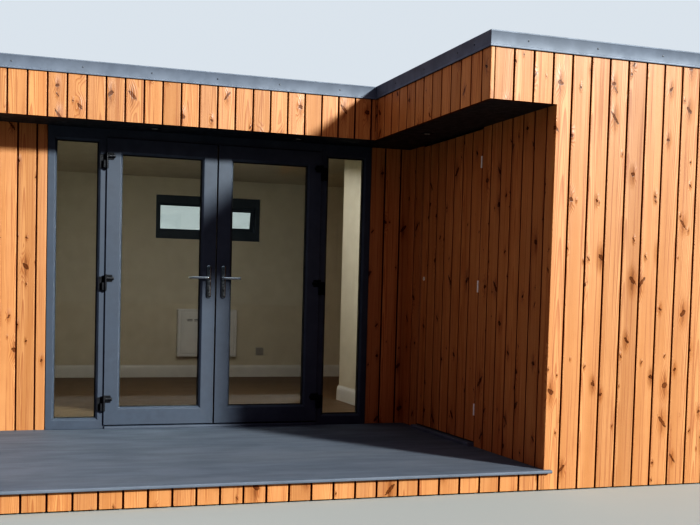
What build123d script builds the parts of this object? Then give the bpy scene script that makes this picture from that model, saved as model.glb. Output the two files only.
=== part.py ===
from build123d import *
import math
import os

os.makedirs("parts", exist_ok=True)

# A flat-roofed garden office with a store room beside it, in plan an L round a raised deck.
# Working axes: X to the right along the front, Y towards the back, Z up from the ground.
# Zero is the store's front left corner. Every piece is moved at the end so that the origin
# lies under the middle of the whole building.

# Plan
STORE_WIDTH = 1452.0  # store front, left corner to right corner
STRIP_RIGHT = 305.0  # boarded strip between the store and the glazing
STRIP_LEFT = 605.0  # boarded wall left of the glazing
BUILDING_DEPTH = 5560.0  # store front to rear face
GLAZED_SETBACK = 1894.0  # store front to the face of the glazed wall
FASCIA_SETBACK = 1576.0  # store front to the canopy fascia over the doors
SIDE_CANOPY = 412.0  # canopy along the store's side wall
STORE_ROOM_DEPTH = 3150.0  # store front face to the face of its rear wall, inside

# Heights above the ground
DECK_TOP = 118.0
FLOOR_TOP = 132.0
SOFFIT = 2136.0
CEILING_RISE = 108.0  # ceiling above the canopy's soffit
CLADDING_FOOT = 6.0

# Build-up of walls, floors and roof
CLADDING = 22.0
WALL = 98.0
PARTITION = 100.0
FLOOR_FINISH = 18.0
DECK_BOARD = 18.0
DECK_NOSING = 30.0
DECK_NOSE_RETURN = 37.0
SOFFIT_BOARD = 12.0
CEILING_BOARD = 12.0
ROOF_BUILD = 182.0
KERB_RISE = 62.0  # top of the edge trim above the roof surface
FIT = 0.3  # gap left between built-in pieces
PAST = 1.0  # how far a cut runs past the faces it opens

# Edge trim
TRIM_PROUD = 8.0
TRIM_SHEET = 3.0
TRIM_FACE = 87.0
KERB_WIDTH = 60.0
TRIM_FLANGE = 70.0
MITRE_GAP = 0.6

# Glazed screen
SCREEN_JAMB = 58.0
SIDELIGHT_GLASS = 272.0
MULLION = 62.0
SIDELIGHT_HEAD = 90.0
SIDELIGHT_FOOT = 75.0
FRAME_DEPTH = 70.0
FRAME_PROUD = 4.0
DOOR_HEAD = 68.0
THRESHOLD = 20.0
STOP_DEPTH = 12.0
STOP_WIDTH = 14.0
BEAD = 14.0
GLASS = 24.0
GLASS_SETBACK = 20.0
GLASS_SEAT = 8.0
GLASS_SLACK = 0.5

# Double doors
STILE = 106.0
TOP_RAIL = 106.0
BOTTOM_RAIL = 122.0
DOOR_GLASS_WIDTH = 546.0
MEETING_GAP = 8.0
OVERLAP = 8.0
MEETING_STEP = 4.0
FLANGE = 10.0
FLANGE_GAP = 2.0
LEAF_BODY = 58.0
SIDE_GAP = 5.0
FOOT_GAP = 6.0

# Door furniture
HANDLE_INSET = 48.0  # meeting edge to spindle
LEVER_HEIGHT = 1158.0
PLATE_WIDTH = 34.0
PLATE_CORNER = 15.0
PLATE_ABOVE = 88.0
PLATE_BELOW = 140.0
PLATE_DEPTH = 10.0
LEVER_REACH = 125.0
LEVER_THICK = 16.0
LEVER_FLAT = 12.0
LEVER_STANDOFF = 34.0
SPINDLE = 5.0
SPINDLE_GAP = 1.0
ROSE = 11.0
HINGE_RADIUS = 9.0
HINGE_HEIGHT = 104.0
HINGE_GAP = 0.5
HINGE_PIN = 4.0
PIN_GAP = 0.3
HINGE_PLATE = 4.0
HINGE_PLATE_REACH = 46.0
HINGE_PLATE_HEIGHT = 90.0
HINGE_END = 150.0  # hinge centre to the end of the leaf

# Store door, boarded flush with the wall
STORE_DOOR_START = 808.0  # store front to the hinge side of the doorway
STORE_DOORWAY = 850.0
STORE_DOOR_GAP = 4.0
STORE_DOOR_TOP_GAP = 12.0
STORE_DOOR_FOOT = 30.0  # dark gap over the deck
STORE_DOOR_CORE = 44.0
STORE_SILL = 22.0
STORE_SILL_REACH = 42.0
STORE_HINGE_RADIUS = 6.0
STORE_HINGE_HEIGHT = 76.0
STORE_HINGE_PROUD = 3.0
STORE_HINGE_LEAF = 1.5
STORE_PIN = 2.0
STORE_HINGE_END = 205.0
LOCK_HEIGHT = 1189.0
LOCK_INSET = 56.0
LOCK_RADIUS = 15.0
LOCK_PROUD = 2.0

# Rear window
WINDOW_LEFT = -1269.0
WINDOW_WIDTH = 1136.0
WINDOW_HEIGHT = 456.0
WINDOW_HEAD = 76.0  # top of the window below the soffit's level
WINDOW_FRAME = 48.0
WINDOW_RAIL = 100.0
WINDOW_SASH = 32.0
WINDOW_CILL = 24.0
WINDOW_CILL_REACH = 20.0
WINDOW_DEPTH = 70.0
WINDOW_INSET = 30.0
WINDOW_MULLION = 50.0
SASH_WIDTH = 480.0
SASH_DEPTH = 50.0
SASH_OPEN = 12.0  # degrees
SASH_GAP = 3.0
WINDOW_GLASS = 20.0

# Fittings
HEATER_LEFT = -1030.0
HEATER_WIDTH = 650.0
HEATER_FOOT = 352.0
HEATER_HEIGHT = 510.0
HEATER_DEPTH = 60.0
HEATER_EDGE = 8.0
SOCKET_LEFT = -150.0
SOCKET_FOOT = 368.0
SOCKET_SIZE = 86.0
SOCKET_DEPTH = 9.0
SOCKET_EDGE = 3.0
SKIRTING_HEIGHT = 130.0
SKIRTING = 15.0
DOWNLIGHT_RADIUS = 42.0
DOWNLIGHT_LENS = 30.0
DOWNLIGHT_DROP = 4.0
DOWNLIGHT_PITCH = 1002.0
DOWNLIGHT_FIRST = -1915.0
DOWNLIGHT_SETBACK = 1182.0  # store front to the lamp under the side canopy

# Places that follow from the sizes
CEILING = SOFFIT + CEILING_RISE
ROOF_UNDERSIDE = CEILING + CEILING_BOARD
ROOF_SURFACE = ROOF_UNDERSIDE + ROOF_BUILD
ROOF_TOP = ROOF_SURFACE + KERB_RISE
TRIM_FOOT = ROOF_TOP - TRIM_FACE
DOOR_LEAF = DOOR_GLASS_WIDTH + 2 * STILE
SIDELIGHT_UNIT = SCREEN_JAMB + SIDELIGHT_GLASS + MULLION
DOORWAY = 2 * DOOR_LEAF + MEETING_GAP - 2 * OVERLAP
SCREEN_RIGHT = -STRIP_RIGHT
SCREEN_LEFT = SCREEN_RIGHT - 2 * SIDELIGHT_UNIT - DOORWAY
LEFT_FACE = SCREEN_LEFT - STRIP_LEFT
DOORWAY_LEFT = SCREEN_LEFT + SIDELIGHT_UNIT
DOORWAY_RIGHT = DOORWAY_LEFT + DOORWAY
MEETING = (DOORWAY_LEFT + DOORWAY_RIGHT) / 2
WALL_BUILD = CLADDING + WALL
INNER_FRONT = GLAZED_SETBACK + WALL_BUILD
INNER_REAR = BUILDING_DEPTH - WALL_BUILD
INNER_LEFT = LEFT_FACE + WALL_BUILD
INNER_RIGHT = STORE_WIDTH - WALL_BUILD
FRAME_FACE = GLAZED_SETBACK - FRAME_PROUD
FRAME_BACK = FRAME_FACE + FRAME_DEPTH
LEAF_FACE = FRAME_FACE - FLANGE_GAP - FLANGE
LEAF_BACK = LEAF_FACE + FLANGE + LEAF_BODY
LEAF_FOOT = DECK_TOP + THRESHOLD + FOOT_GAP
LEAF_TOP = SOFFIT - DOOR_HEAD + OVERLAP
STORE_DOOR_END = STORE_DOOR_START + STORE_DOORWAY
STORE_DOOR_LOW = DECK_TOP + STORE_DOOR_FOOT
STORE_DOOR_HIGH = SOFFIT - STORE_DOOR_TOP_GAP
WINDOW_TOP = SOFFIT - WINDOW_HEAD
WINDOW_SILL = WINDOW_TOP - WINDOW_HEIGHT
SASH_HEIGHT = WINDOW_HEIGHT - 2 * (FIT + WINDOW_RAIL) - SASH_GAP
SASH_REACH = SASH_HEIGHT * math.sin(math.radians(SASH_OPEN)) - WINDOW_INSET
X_MIDDLE = (LEFT_FACE + STORE_WIDTH) / 2
Y_MIDDLE = (BUILDING_DEPTH + max(TRIM_PROUD, SASH_REACH, WINDOW_CILL_REACH) - DECK_NOSING) / 2


def block(x, y, z):
    """A plain rectangular piece between the given pairs of limits."""
    size = (x[1] - x[0], y[1] - y[0], z[1] - z[0])
    return Pos(x[0], y[0], z[0]) * Box(*size, align=(Align.MIN, Align.MIN, Align.MIN))


def save(name, *solids):
    """Writes one piece, moved so that the building's middle is at the origin."""
    moved = [Pos(-X_MIDDLE, -Y_MIDDLE, 0) * solid for solid in solids]
    shape = moved[0] if len(moved) == 1 else Compound(children=moved)
    export_step(shape, f"parts/{name}.step")


def base_and_floors():
    """Insulated floor cassettes on the ground, the office's floor boards and the deck."""
    office_x = (LEFT_FACE + CLADDING, STORE_WIDTH - CLADDING)
    store_x = (CLADDING, STORE_WIDTH - CLADDING)
    office_y = (GLAZED_SETBACK + CLADDING, BUILDING_DEPTH - CLADDING)
    under_finish = FLOOR_TOP - FLOOR_FINISH
    save("office_base", block(office_x, office_y, (0, under_finish)))
    save("store_base", block(store_x, (CLADDING, office_y[0] - FIT), (0, under_finish)))
    finish_x = (INNER_LEFT, INNER_RIGHT)
    save("office_floor", block(finish_x, (INNER_FRONT, INNER_REAR), (under_finish, FLOOR_TOP)))
    store_floor_x = (WALL_BUILD, INNER_RIGHT)
    store_floor_y = (WALL_BUILD, INNER_FRONT - FIT)
    save("store_floor", block(store_floor_x, store_floor_y, (under_finish, FLOOR_TOP)))


def deck():
    """Deck on its own base, with boards below its edge and a nose that laps the store's corner."""
    under = DECK_TOP - DECK_BOARD
    save("deck_base", block((LEFT_FACE + CLADDING, -FIT), (CLADDING, GLAZED_SETBACK), (0, under)))
    top = block((LEFT_FACE, 0), (-DECK_NOSING, GLAZED_SETBACK), (under, DECK_TOP))
    top += block((-FIT, DECK_NOSE_RETURN), (-DECK_NOSING, -FIT), (under, DECK_TOP))
    nose_edges = top.edges().filter_by(Axis.X).group_by(Axis.Y)[0]
    save("deck_boards", fillet(nose_edges, DECK_BOARD / 3))
    board_z = (CLADDING_FOOT, under - FIT)
    front = block((LEFT_FACE, -FIT), (0, CLADDING), board_z)
    end = block((LEFT_FACE, LEFT_FACE + CLADDING - FIT), (CLADDING + FIT, GLAZED_SETBACK), board_z)
    save("deck_cladding", front, end)


def outer_walls():
    """Lined and insulated wall panels behind the boards."""
    low = FLOOR_TOP - FLOOR_FINISH
    z = (low, ROOF_UNDERSIDE)
    panel_left = LEFT_FACE + CLADDING
    panel_right = STORE_WIDTH - CLADDING
    save("left_wall", block((panel_left, INNER_LEFT), (GLAZED_SETBACK + CLADDING, INNER_REAR), z))
    save("right_wall", block((INNER_RIGHT, panel_right), (WALL_BUILD, INNER_REAR), z))
    rear = block((panel_left, panel_right), (INNER_REAR, BUILDING_DEPTH - CLADDING), z)
    save("rear_wall", rear - window_hole())
    front_y = (GLAZED_SETBACK + CLADDING, INNER_FRONT)
    left = block((INNER_LEFT, SCREEN_LEFT - FIT), front_y, z)
    right = block((SCREEN_RIGHT + FIT, 0), front_y, z)
    save("front_wall", left, right)
    header_z = (SOFFIT + FIT, ROOF_UNDERSIDE)
    over_screen = block((SCREEN_LEFT, SCREEN_RIGHT), front_y, header_z)
    side_x = (CLADDING, WALL_BUILD)
    over_door = block(side_x, (STORE_DOOR_START + FIT, STORE_DOOR_END - FIT), header_z)
    save("wall_headers", over_screen, over_door)
    save("store_front_wall", block((CLADDING, panel_right), (CLADDING, WALL_BUILD), z))
    side_front = block(side_x, (WALL_BUILD, STORE_DOOR_START), z)
    side_rear = block(side_x, (STORE_DOOR_END, INNER_FRONT), z)
    save("store_side_wall", side_front, side_rear)


def partitions():
    """The walls between the office and the store, whose corner shows through the right sidelight."""
    z = (FLOOR_TOP, CEILING)
    store_rear = STORE_ROOM_DEPTH + PARTITION
    save("partition_wall", block((0, WALL_BUILD), (INNER_FRONT, store_rear), z))
    save("store_rear_wall", block((WALL_BUILD, INNER_RIGHT), (STORE_ROOM_DEPTH, store_rear), z))


def window_hole():
    """The hole for the rear window, through panel and boards."""
    return block(
        (WINDOW_LEFT, WINDOW_LEFT + WINDOW_WIDTH),
        (INNER_REAR - FIT, BUILDING_DEPTH + FIT),
        (WINDOW_SILL, WINDOW_TOP),
    )


def cladding():
    """Upright boards on every outer face, here as whole skins."""
    z = (CLADDING_FOOT, TRIM_FOOT)
    low_z = (DECK_TOP + FIT, SOFFIT)
    face_y = (GLAZED_SETBACK, GLAZED_SETBACK + CLADDING)
    side_y = (GLAZED_SETBACK + CLADDING, BUILDING_DEPTH)
    save("left_cladding", block((LEFT_FACE, LEFT_FACE + CLADDING), side_y, z))
    right_y = (CLADDING, BUILDING_DEPTH)
    save("right_cladding", block((STORE_WIDTH - CLADDING, STORE_WIDTH), right_y, z))
    rear_x = (LEFT_FACE + CLADDING, STORE_WIDTH - CLADDING)
    rear = block(rear_x, (BUILDING_DEPTH - CLADDING, BUILDING_DEPTH), z)
    save("rear_cladding", rear - window_hole())
    left = block((LEFT_FACE, SCREEN_LEFT - FIT), face_y, low_z)
    right = block((SCREEN_RIGHT + FIT, -FIT), face_y, low_z)
    save("front_cladding", left, right)
    save("store_front_cladding", block((0, STORE_WIDTH), (0, CLADDING), z))
    side_x = (0, CLADDING)
    side_front = block(side_x, (CLADDING, STORE_DOOR_START), low_z) - knuckle_relief()
    side_rear = block(side_x, (STORE_DOOR_END, GLAZED_SETBACK + CLADDING), low_z)
    save("store_side_cladding", side_front, side_rear)


def canopy():
    """Boarded fascias and black soffits round the deck's inner corner, with downlights."""
    z = (SOFFIT, TRIM_FOOT)
    over_doors = block((LEFT_FACE, -SIDE_CANOPY), (FASCIA_SETBACK, FASCIA_SETBACK + CLADDING), z)
    over_deck = block((-SIDE_CANOPY + CLADDING + FIT, -FIT), (0, CLADDING), z)
    save("front_fascia", over_doors, over_deck)
    side_y = (0, FASCIA_SETBACK)
    beside_store = block((-SIDE_CANOPY, -SIDE_CANOPY + CLADDING), side_y, z)
    end_y = (FASCIA_SETBACK + CLADDING, GLAZED_SETBACK + CLADDING)
    left_end = block((LEFT_FACE, LEFT_FACE + CLADDING), end_y, z)
    save("side_fascia", beside_store, left_end)
    soffit_z = (SOFFIT, SOFFIT + SOFFIT_BOARD)
    front_x = (LEFT_FACE + CLADDING, -SIDE_CANOPY + CLADDING)
    front_y = (FASCIA_SETBACK + CLADDING, GLAZED_SETBACK + CLADDING)
    front = block(front_x, front_y, soffit_z)
    side_x = (-SIDE_CANOPY + CLADDING + FIT, CLADDING)
    side = block(side_x, (CLADDING, GLAZED_SETBACK + CLADDING), soffit_z)
    save("soffits", front, side)
    front_mid = (FASCIA_SETBACK + GLAZED_SETBACK) / 2 + CLADDING
    places = [(DOWNLIGHT_FIRST + i * DOWNLIGHT_PITCH, front_mid) for i in range(2)]
    places.append((-SIDE_CANOPY / 2, DOWNLIGHT_SETBACK))
    save("downlights", *[downlight(x, y) for x, y in places])


def downlight(x, y):
    """A round trim ring with a recessed lens."""
    ring = Cylinder(DOWNLIGHT_RADIUS, DOWNLIGHT_DROP) - Pos(0, 0, -DOWNLIGHT_DROP / 2) * Cylinder(
        DOWNLIGHT_LENS, DOWNLIGHT_DROP
    )
    return Pos(x, y, SOFFIT - DOWNLIGHT_DROP / 2) * ring


def roof():
    """Flat roof deck in two slabs, the ceiling, and mitred metal edge trims round the L."""
    z = (ROOF_UNDERSIDE, ROOF_SURFACE)
    main_x = (LEFT_FACE + CLADDING, STORE_WIDTH - CLADDING)
    main = block(main_x, (FASCIA_SETBACK + CLADDING, BUILDING_DEPTH - CLADDING), z)
    front_x = (-SIDE_CANOPY + CLADDING, STORE_WIDTH - CLADDING)
    front = block(front_x, (CLADDING, FASCIA_SETBACK + CLADDING - FIT), z)
    save("roof_deck", main, front)
    ceiling_x = (INNER_LEFT, INNER_RIGHT)
    save("ceiling", block(ceiling_x, (INNER_FRONT, INNER_REAR), (CEILING, ROOF_UNDERSIDE)))
    sides = range(len(roof_outline(0)))
    save("roof_trim", *[trim(side) for side in sides])
    save("roof_kerb", *[kerb(side) for side in sides])


def roof_outline(inset):
    """Corners of the roof's edge in plan, moved inwards by the given distance."""
    left, right = LEFT_FACE + inset, STORE_WIDTH - inset
    front, rear = inset, BUILDING_DEPTH - inset
    inner_x, inner_y = -SIDE_CANOPY + inset, FASCIA_SETBACK + inset
    return [
        (inner_x, front),
        (right, front),
        (right, rear),
        (left, rear),
        (left, inner_y),
        (inner_x, inner_y),
    ]


def trim(side):
    """One angle-section length of edge trim, cut to a mitre at both ends."""
    face = edge_strip(side, -TRIM_PROUD, TRIM_SHEET - TRIM_PROUD, TRIM_FOOT, ROOF_TOP)
    flange = edge_strip(side, -TRIM_PROUD, TRIM_FLANGE - TRIM_PROUD, ROOF_TOP - TRIM_SHEET, ROOF_TOP)
    return face + flange


def kerb(side):
    """The upstand that carries the trim: it stands on the roof deck and laps the boards' top."""
    face = TRIM_SHEET - TRIM_PROUD + FIT
    top = ROOF_TOP - TRIM_SHEET - FIT
    over_boards = edge_strip(side, face, CLADDING, TRIM_FOOT + FIT, top)
    on_deck = edge_strip(side, CLADDING - PAST, KERB_WIDTH, ROOF_SURFACE, top)
    return over_boards + on_deck


def edge_strip(side, outset, inset, low, high):
    """A strip along one side of the roof, mitred at both ends, between two lines in plan."""
    outer = roof_outline(outset)
    inner = roof_outline(inset)
    ends = side, (side + 1) % len(outer)
    a, b = (Vector(*outer[end]) for end in ends)
    c, d = (Vector(*inner[end]) for end in ends)
    along = (b - a).normalized() * MITRE_GAP
    corners = [a + along, b - along, d - along, c + along]
    strip = make_face(Polyline(*[(p.X, p.Y) for p in corners], close=True))
    return Pos(0, 0, low) * extrude(strip, high - low)


def frame_ring(x, y, z, members):
    """A frame with bevelled beads round its glass; members are left, right, bottom and top."""
    left, right, bottom, top = members
    body = block(x, y, z)
    glass_x = (x[0] + left, x[1] - right)
    glass_z = (z[0] + bottom, z[1] - top)
    body -= block(glass_x, (y[0] - PAST, y[1] + PAST), glass_z)
    for face, inward in ((y[0], 1), (y[1], -1)):
        centre = ((glass_x[0] + glass_x[1]) / 2, face, (glass_z[0] + glass_z[1]) / 2)
        mouth = Plane(origin=centre, x_dir=(1, 0, 0), z_dir=(0, inward, 0))
        width = glass_x[1] - glass_x[0] + 2 * BEAD
        height = glass_z[1] - glass_z[0] + 2 * BEAD
        body -= extrude(mouth * Rectangle(width, height), BEAD, taper=45)
    seat_y = (y[0] + GLASS_SETBACK, y[0] + GLASS_SETBACK + GLASS)
    seat_x = (glass_x[0] - GLASS_SEAT, glass_x[1] + GLASS_SEAT)
    seat_z = (glass_z[0] - GLASS_SEAT, glass_z[1] + GLASS_SEAT)
    return body - block(seat_x, seat_y, seat_z)


def pane(x, y, z, members):
    """The sealed glass unit that sits in the groove of such a frame."""
    left, right, bottom, top = members
    lap = GLASS_SEAT - GLASS_SLACK
    pane_x = (x[0] + left - lap, x[1] - right + lap)
    pane_z = (z[0] + bottom - lap, z[1] - top + lap)
    seat = y[0] + GLASS_SETBACK
    pane_y = (seat + GLASS_SLACK, seat + GLASS - GLASS_SLACK)
    return block(pane_x, pane_y, pane_z)


def sidelights():
    """The fixed lights either side of the doors, each with the post that carries a door."""
    y = (FRAME_FACE, FRAME_BACK)
    z = (DECK_TOP, SOFFIT)
    left_x = (SCREEN_LEFT, DOORWAY_LEFT)
    right_x = (DOORWAY_RIGHT, SCREEN_RIGHT)
    left_members = (SCREEN_JAMB, MULLION, SIDELIGHT_FOOT, SIDELIGHT_HEAD)
    right_members = (MULLION, SCREEN_JAMB, SIDELIGHT_FOOT, SIDELIGHT_HEAD)
    left = frame_ring(left_x, y, z, left_members)
    right = frame_ring(right_x, y, z, right_members)
    stop_y = (FRAME_BACK - STOP_DEPTH, FRAME_BACK)
    stop_z = (DECK_TOP + THRESHOLD, SOFFIT - DOOR_HEAD)
    left += block((DOORWAY_LEFT - PAST, DOORWAY_LEFT + STOP_WIDTH), stop_y, stop_z)
    right += block((DOORWAY_RIGHT - STOP_WIDTH, DOORWAY_RIGHT + PAST), stop_y, stop_z)
    save("left_sidelight_frame", left)
    save("right_sidelight_frame", right)
    panes = pane(left_x, y, z, left_members), pane(right_x, y, z, right_members)
    save("sidelight_glass", *panes)


def door_frame():
    """Head and low threshold between the two posts."""
    x = (DOORWAY_LEFT, DOORWAY_RIGHT)
    head = block(x, (FRAME_FACE, FRAME_BACK), (SOFFIT - DOOR_HEAD, SOFFIT))
    sill_y = (FRAME_FACE - FLANGE - FLANGE_GAP, FRAME_BACK)
    sill = block(x, sill_y, (DECK_TOP, DECK_TOP + THRESHOLD))
    front_edge = sill.edges().filter_by(Axis.X).group_by(Axis.Y)[0].sort_by(Axis.Z)[-1]
    save("door_frame", head, chamfer(front_edge, THRESHOLD / 3))


def leaf_limits(side):
    """Left and right edge of a leaf's outer flange; side is -1 for the left leaf, 1 for the right."""
    if side < 0:
        return DOORWAY_LEFT - OVERLAP, MEETING - MEETING_GAP / 2
    return MEETING + MEETING_GAP / 2, DOORWAY_RIGHT + OVERLAP


def door_leaf(side):
    """A glazed leaf: a body inside the frame and a flange that laps over its face."""
    x = leaf_limits(side)
    y = (LEAF_FACE, LEAF_BACK)
    z = (LEAF_FOOT, LEAF_TOP)
    members = (STILE, STILE, BOTTOM_RAIL, TOP_RAIL)
    leaf = frame_ring(x, y, z, members)
    step = OVERLAP + SIDE_GAP
    body_y = (LEAF_FACE + FLANGE, LEAF_BACK + PAST)
    steps = (step, MEETING_STEP) if side < 0 else (MEETING_STEP, step)
    cut_z = (z[0] - PAST, z[1] + PAST)
    leaf -= block((x[0] - PAST, x[0] + steps[0]), body_y, cut_z)
    leaf -= block((x[1] - steps[1], x[1] + PAST), body_y, cut_z)
    leaf -= block((x[0] - PAST, x[1] + PAST), body_y, (z[1] - step, z[1] + PAST))
    bore = Rot(90, 0, 0) * Cylinder(SPINDLE + SPINDLE_GAP, 2 * FRAME_DEPTH)
    leaf -= Pos(spindle_x(side), LEAF_FACE, LEVER_HEIGHT) * bore
    return leaf, pane(x, y, z, members)


def spindle_x(side):
    """The line of a leaf's lever spindle, measured from its meeting edge."""
    return MEETING + side * (MEETING_GAP / 2 + HANDLE_INSET)


def back_plates(side):
    """Long plates on both faces of the meeting stile, each with a keyhole boss."""
    plates = []
    for face, outward in ((LEAF_FACE, -1), (LEAF_BACK, 1)):
        centre_z = LEVER_HEIGHT + (PLATE_ABOVE - PLATE_BELOW) / 2
        outline = RectangleRounded(PLATE_WIDTH, PLATE_ABOVE + PLATE_BELOW, PLATE_CORNER)
        plane = Plane(origin=(spindle_x(side), face, centre_z), x_dir=(1, 0, 0), z_dir=(0, outward, 0))
        plate = extrude(plane * outline, PLATE_DEPTH)
        bore = Rot(90, 0, 0) * Cylinder(ROSE + SPINDLE_GAP, 4 * PLATE_DEPTH)
        plates.append(plate - Pos(spindle_x(side), face, LEVER_HEIGHT) * bore)
    return plates


def lever(side):
    """Two levers on one spindle, pointing away from the meeting edge."""
    x = spindle_x(side)
    length = LEAF_BACK - LEAF_FACE + 2 * LEVER_STANDOFF
    middle = (LEAF_FACE + LEAF_BACK) / 2
    handle = Pos(x, middle, LEVER_HEIGHT) * Rot(90, 0, 0) * Cylinder(SPINDLE, length)
    round_end = LEVER_THICK / 2
    for face, outward in ((LEAF_FACE, -1), (LEAF_BACK, 1)):
        neck_length = LEVER_STANDOFF - PAST
        neck_middle = face + outward * (PAST + neck_length / 2)
        handle += Pos(x, neck_middle, LEVER_HEIGHT) * Rot(90, 0, 0) * Cylinder(ROSE, neck_length)
        grip_middle = x + side * (LEVER_REACH - round_end) / 2
        grip_start = face + outward * (LEVER_STANDOFF - LEVER_THICK)
        origin = (grip_middle, grip_start, LEVER_HEIGHT)
        plane = Plane(origin=origin, x_dir=(1, 0, 0), z_dir=(0, outward, 0))
        handle += extrude(plane * SlotOverall(LEVER_REACH + round_end, LEVER_THICK), LEVER_FLAT)
    return handle


def hinge_line(side):
    """The line that a glazed leaf turns on, just outside its outer corner."""
    x = leaf_limits(side)[0 if side < 0 else 1]
    return x, LEAF_FACE - HINGE_RADIUS - HINGE_GAP


def hinge_heights(foot, top, end):
    """Centre heights of three hinges on a leaf."""
    return foot + end, (foot + top) / 2, top - end


def lower_hinge(side, z):
    """A hinge's half on the post: barrel and pin on an arm cranked back to a screwed plate."""
    x, y = hinge_line(side)
    half = HINGE_HEIGHT / 2
    low, high = z - half, z - HINGE_GAP
    bend_x = x + side * HINGE_PLATE_REACH / 2
    barrel = Pos(x, y, z - half / 2 - HINGE_GAP) * Cylinder(HINGE_RADIUS, half)
    pin = Pos(x, y, z + half / 4 - HINGE_GAP) * Cylinder(HINGE_PIN, half / 2)
    arm_y = (y - HINGE_PLATE / 2, y + HINGE_PLATE / 2)
    arm = block(sorted((x, bend_x)), arm_y, (low, high))
    riser_x = sorted((bend_x - side * HINGE_PLATE, bend_x))
    riser = block(riser_x, (arm_y[0], FRAME_FACE), (low, high))
    plate_x = sorted((x + side * HINGE_RADIUS, x + side * HINGE_PLATE_REACH))
    plate_y = (FRAME_FACE - HINGE_PLATE, FRAME_FACE)
    plate = block(plate_x, plate_y, (low, low + HINGE_PLATE_HEIGHT))
    return barrel + pin + arm + riser + plate


def upper_hinge(side, z):
    """A hinge's half on the leaf: a bored barrel with a flag screwed to the leaf's face."""
    x, y = hinge_line(side)
    half = HINGE_HEIGHT / 2
    barrel = Pos(x, y, z + half / 2) * Cylinder(HINGE_RADIUS, half - 2 * HINGE_GAP)
    flag_x = sorted((x, x - side * HINGE_PLATE_REACH))
    flag_y = (LEAF_FACE - HINGE_PLATE, LEAF_FACE)
    flag = block(flag_x, flag_y, (z + HINGE_PIN, z + half - HINGE_GAP))
    depth = half / 2 + 4 * HINGE_GAP
    bore = Pos(x, y, z + half / 4) * Cylinder(HINGE_PIN + PIN_GAP, depth)
    return barrel + flag - bore


def double_doors():
    """Both leaves with their glass, plates, levers and hinges."""
    fixed_hinges = []
    for name, side in (("left", -1), ("right", 1)):
        leaf, glass = door_leaf(side)
        save(f"{name}_door_leaf", leaf)
        save(f"{name}_door_glass", glass)
        save(f"{name}_door_plates", *back_plates(side))
        save(f"{name}_door_lever", lever(side))
        heights = hinge_heights(LEAF_FOOT, LEAF_TOP, HINGE_END)
        save(f"{name}_door_hinges", *[upper_hinge(side, z) for z in heights])
        fixed_hinges += [lower_hinge(side, z) for z in heights]
    save("post_hinges", *fixed_hinges)


def store_hinge_line():
    """The line that the store door turns on, proud of the boards at its front edge."""
    return -STORE_HINGE_PROUD, STORE_DOOR_START + STORE_DOOR_GAP / 2


def knuckle_relief():
    """Notches in the boards round the store door's knuckles."""
    heights = hinge_heights(STORE_DOOR_LOW, STORE_DOOR_HIGH, STORE_HINGE_END)
    notch = Cylinder(STORE_HINGE_RADIUS + PAST, STORE_HINGE_HEIGHT + 2 * PAST)
    return [Pos(*store_hinge_line(), z) * notch for z in heights]


def store_door():
    """A boarded door flush with the wall, its lock and its butt hinges."""
    y = (STORE_DOOR_START + STORE_DOOR_GAP, STORE_DOOR_END - STORE_DOOR_GAP)
    foot, top = STORE_DOOR_LOW, STORE_DOOR_HIGH
    boards = block((0, CLADDING), y, (foot, top)) - knuckle_relief()
    core = block((CLADDING, CLADDING + STORE_DOOR_CORE), y, (foot, top))
    lock_y = y[1] - LOCK_INSET
    lock_line = Pos(0, lock_y, LOCK_HEIGHT) * Rot(0, 90, 0)
    save("store_door_cladding", boards - lock_line * Cylinder(LOCK_RADIUS, 4 * CLADDING))
    save("store_door_core", core)
    lock = Cylinder(LOCK_RADIUS - PIN_GAP, CLADDING + LOCK_PROUD)
    save("store_door_lock", lock_line * Pos(0, 0, (CLADDING - LOCK_PROUD) / 2) * lock)
    save("store_sill", store_sill())
    heights = hinge_heights(foot, top, STORE_HINGE_END)
    save("store_post_hinges", *[post_hinge_leaf(z) for z in heights])
    save("store_door_hinges", *[door_hinge_leaf(z) for z in heights])


def store_sill():
    """A dark sill under the store door, with a rounded front that stands out on the deck."""
    y = (STORE_DOOR_START, STORE_DOOR_END)
    low = DECK_TOP + FIT
    step = block((-STORE_SILL_REACH, 0), y, (low, low + STORE_SILL))
    front = step.edges().filter_by(Axis.Y).group_by(Axis.X)[0].sort_by(Axis.Z)[-1]
    under_door = block((-FIT, WALL_BUILD), (y[0] + FIT, y[1] - FIT), (low, low + STORE_SILL))
    return fillet(front, STORE_SILL / 3) + under_door


def post_hinge_leaf(z):
    """A butt hinge's half in the doorway's reveal: leaf, two outer knuckles and the pin."""
    x, y = store_hinge_line()
    third = STORE_HINGE_HEIGHT / 3
    leaf_y = (STORE_DOOR_START, STORE_DOOR_START + STORE_HINGE_LEAF)
    leaf_z = (z - STORE_HINGE_HEIGHT / 2, z + STORE_HINGE_HEIGHT / 2)
    leaf = block((x, CLADDING + STORE_DOOR_CORE / 2), leaf_y, leaf_z)
    leaf -= Pos(x, y, z) * Cylinder(STORE_HINGE_RADIUS + HINGE_GAP, third)
    knuckle = Cylinder(STORE_HINGE_RADIUS, third - 2 * HINGE_GAP)
    pin = Pos(x, y, z) * Cylinder(STORE_PIN, STORE_HINGE_HEIGHT - 4 * HINGE_GAP)
    return leaf + Pos(x, y, z + third) * knuckle + Pos(x, y, z - third) * knuckle + pin


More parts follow.
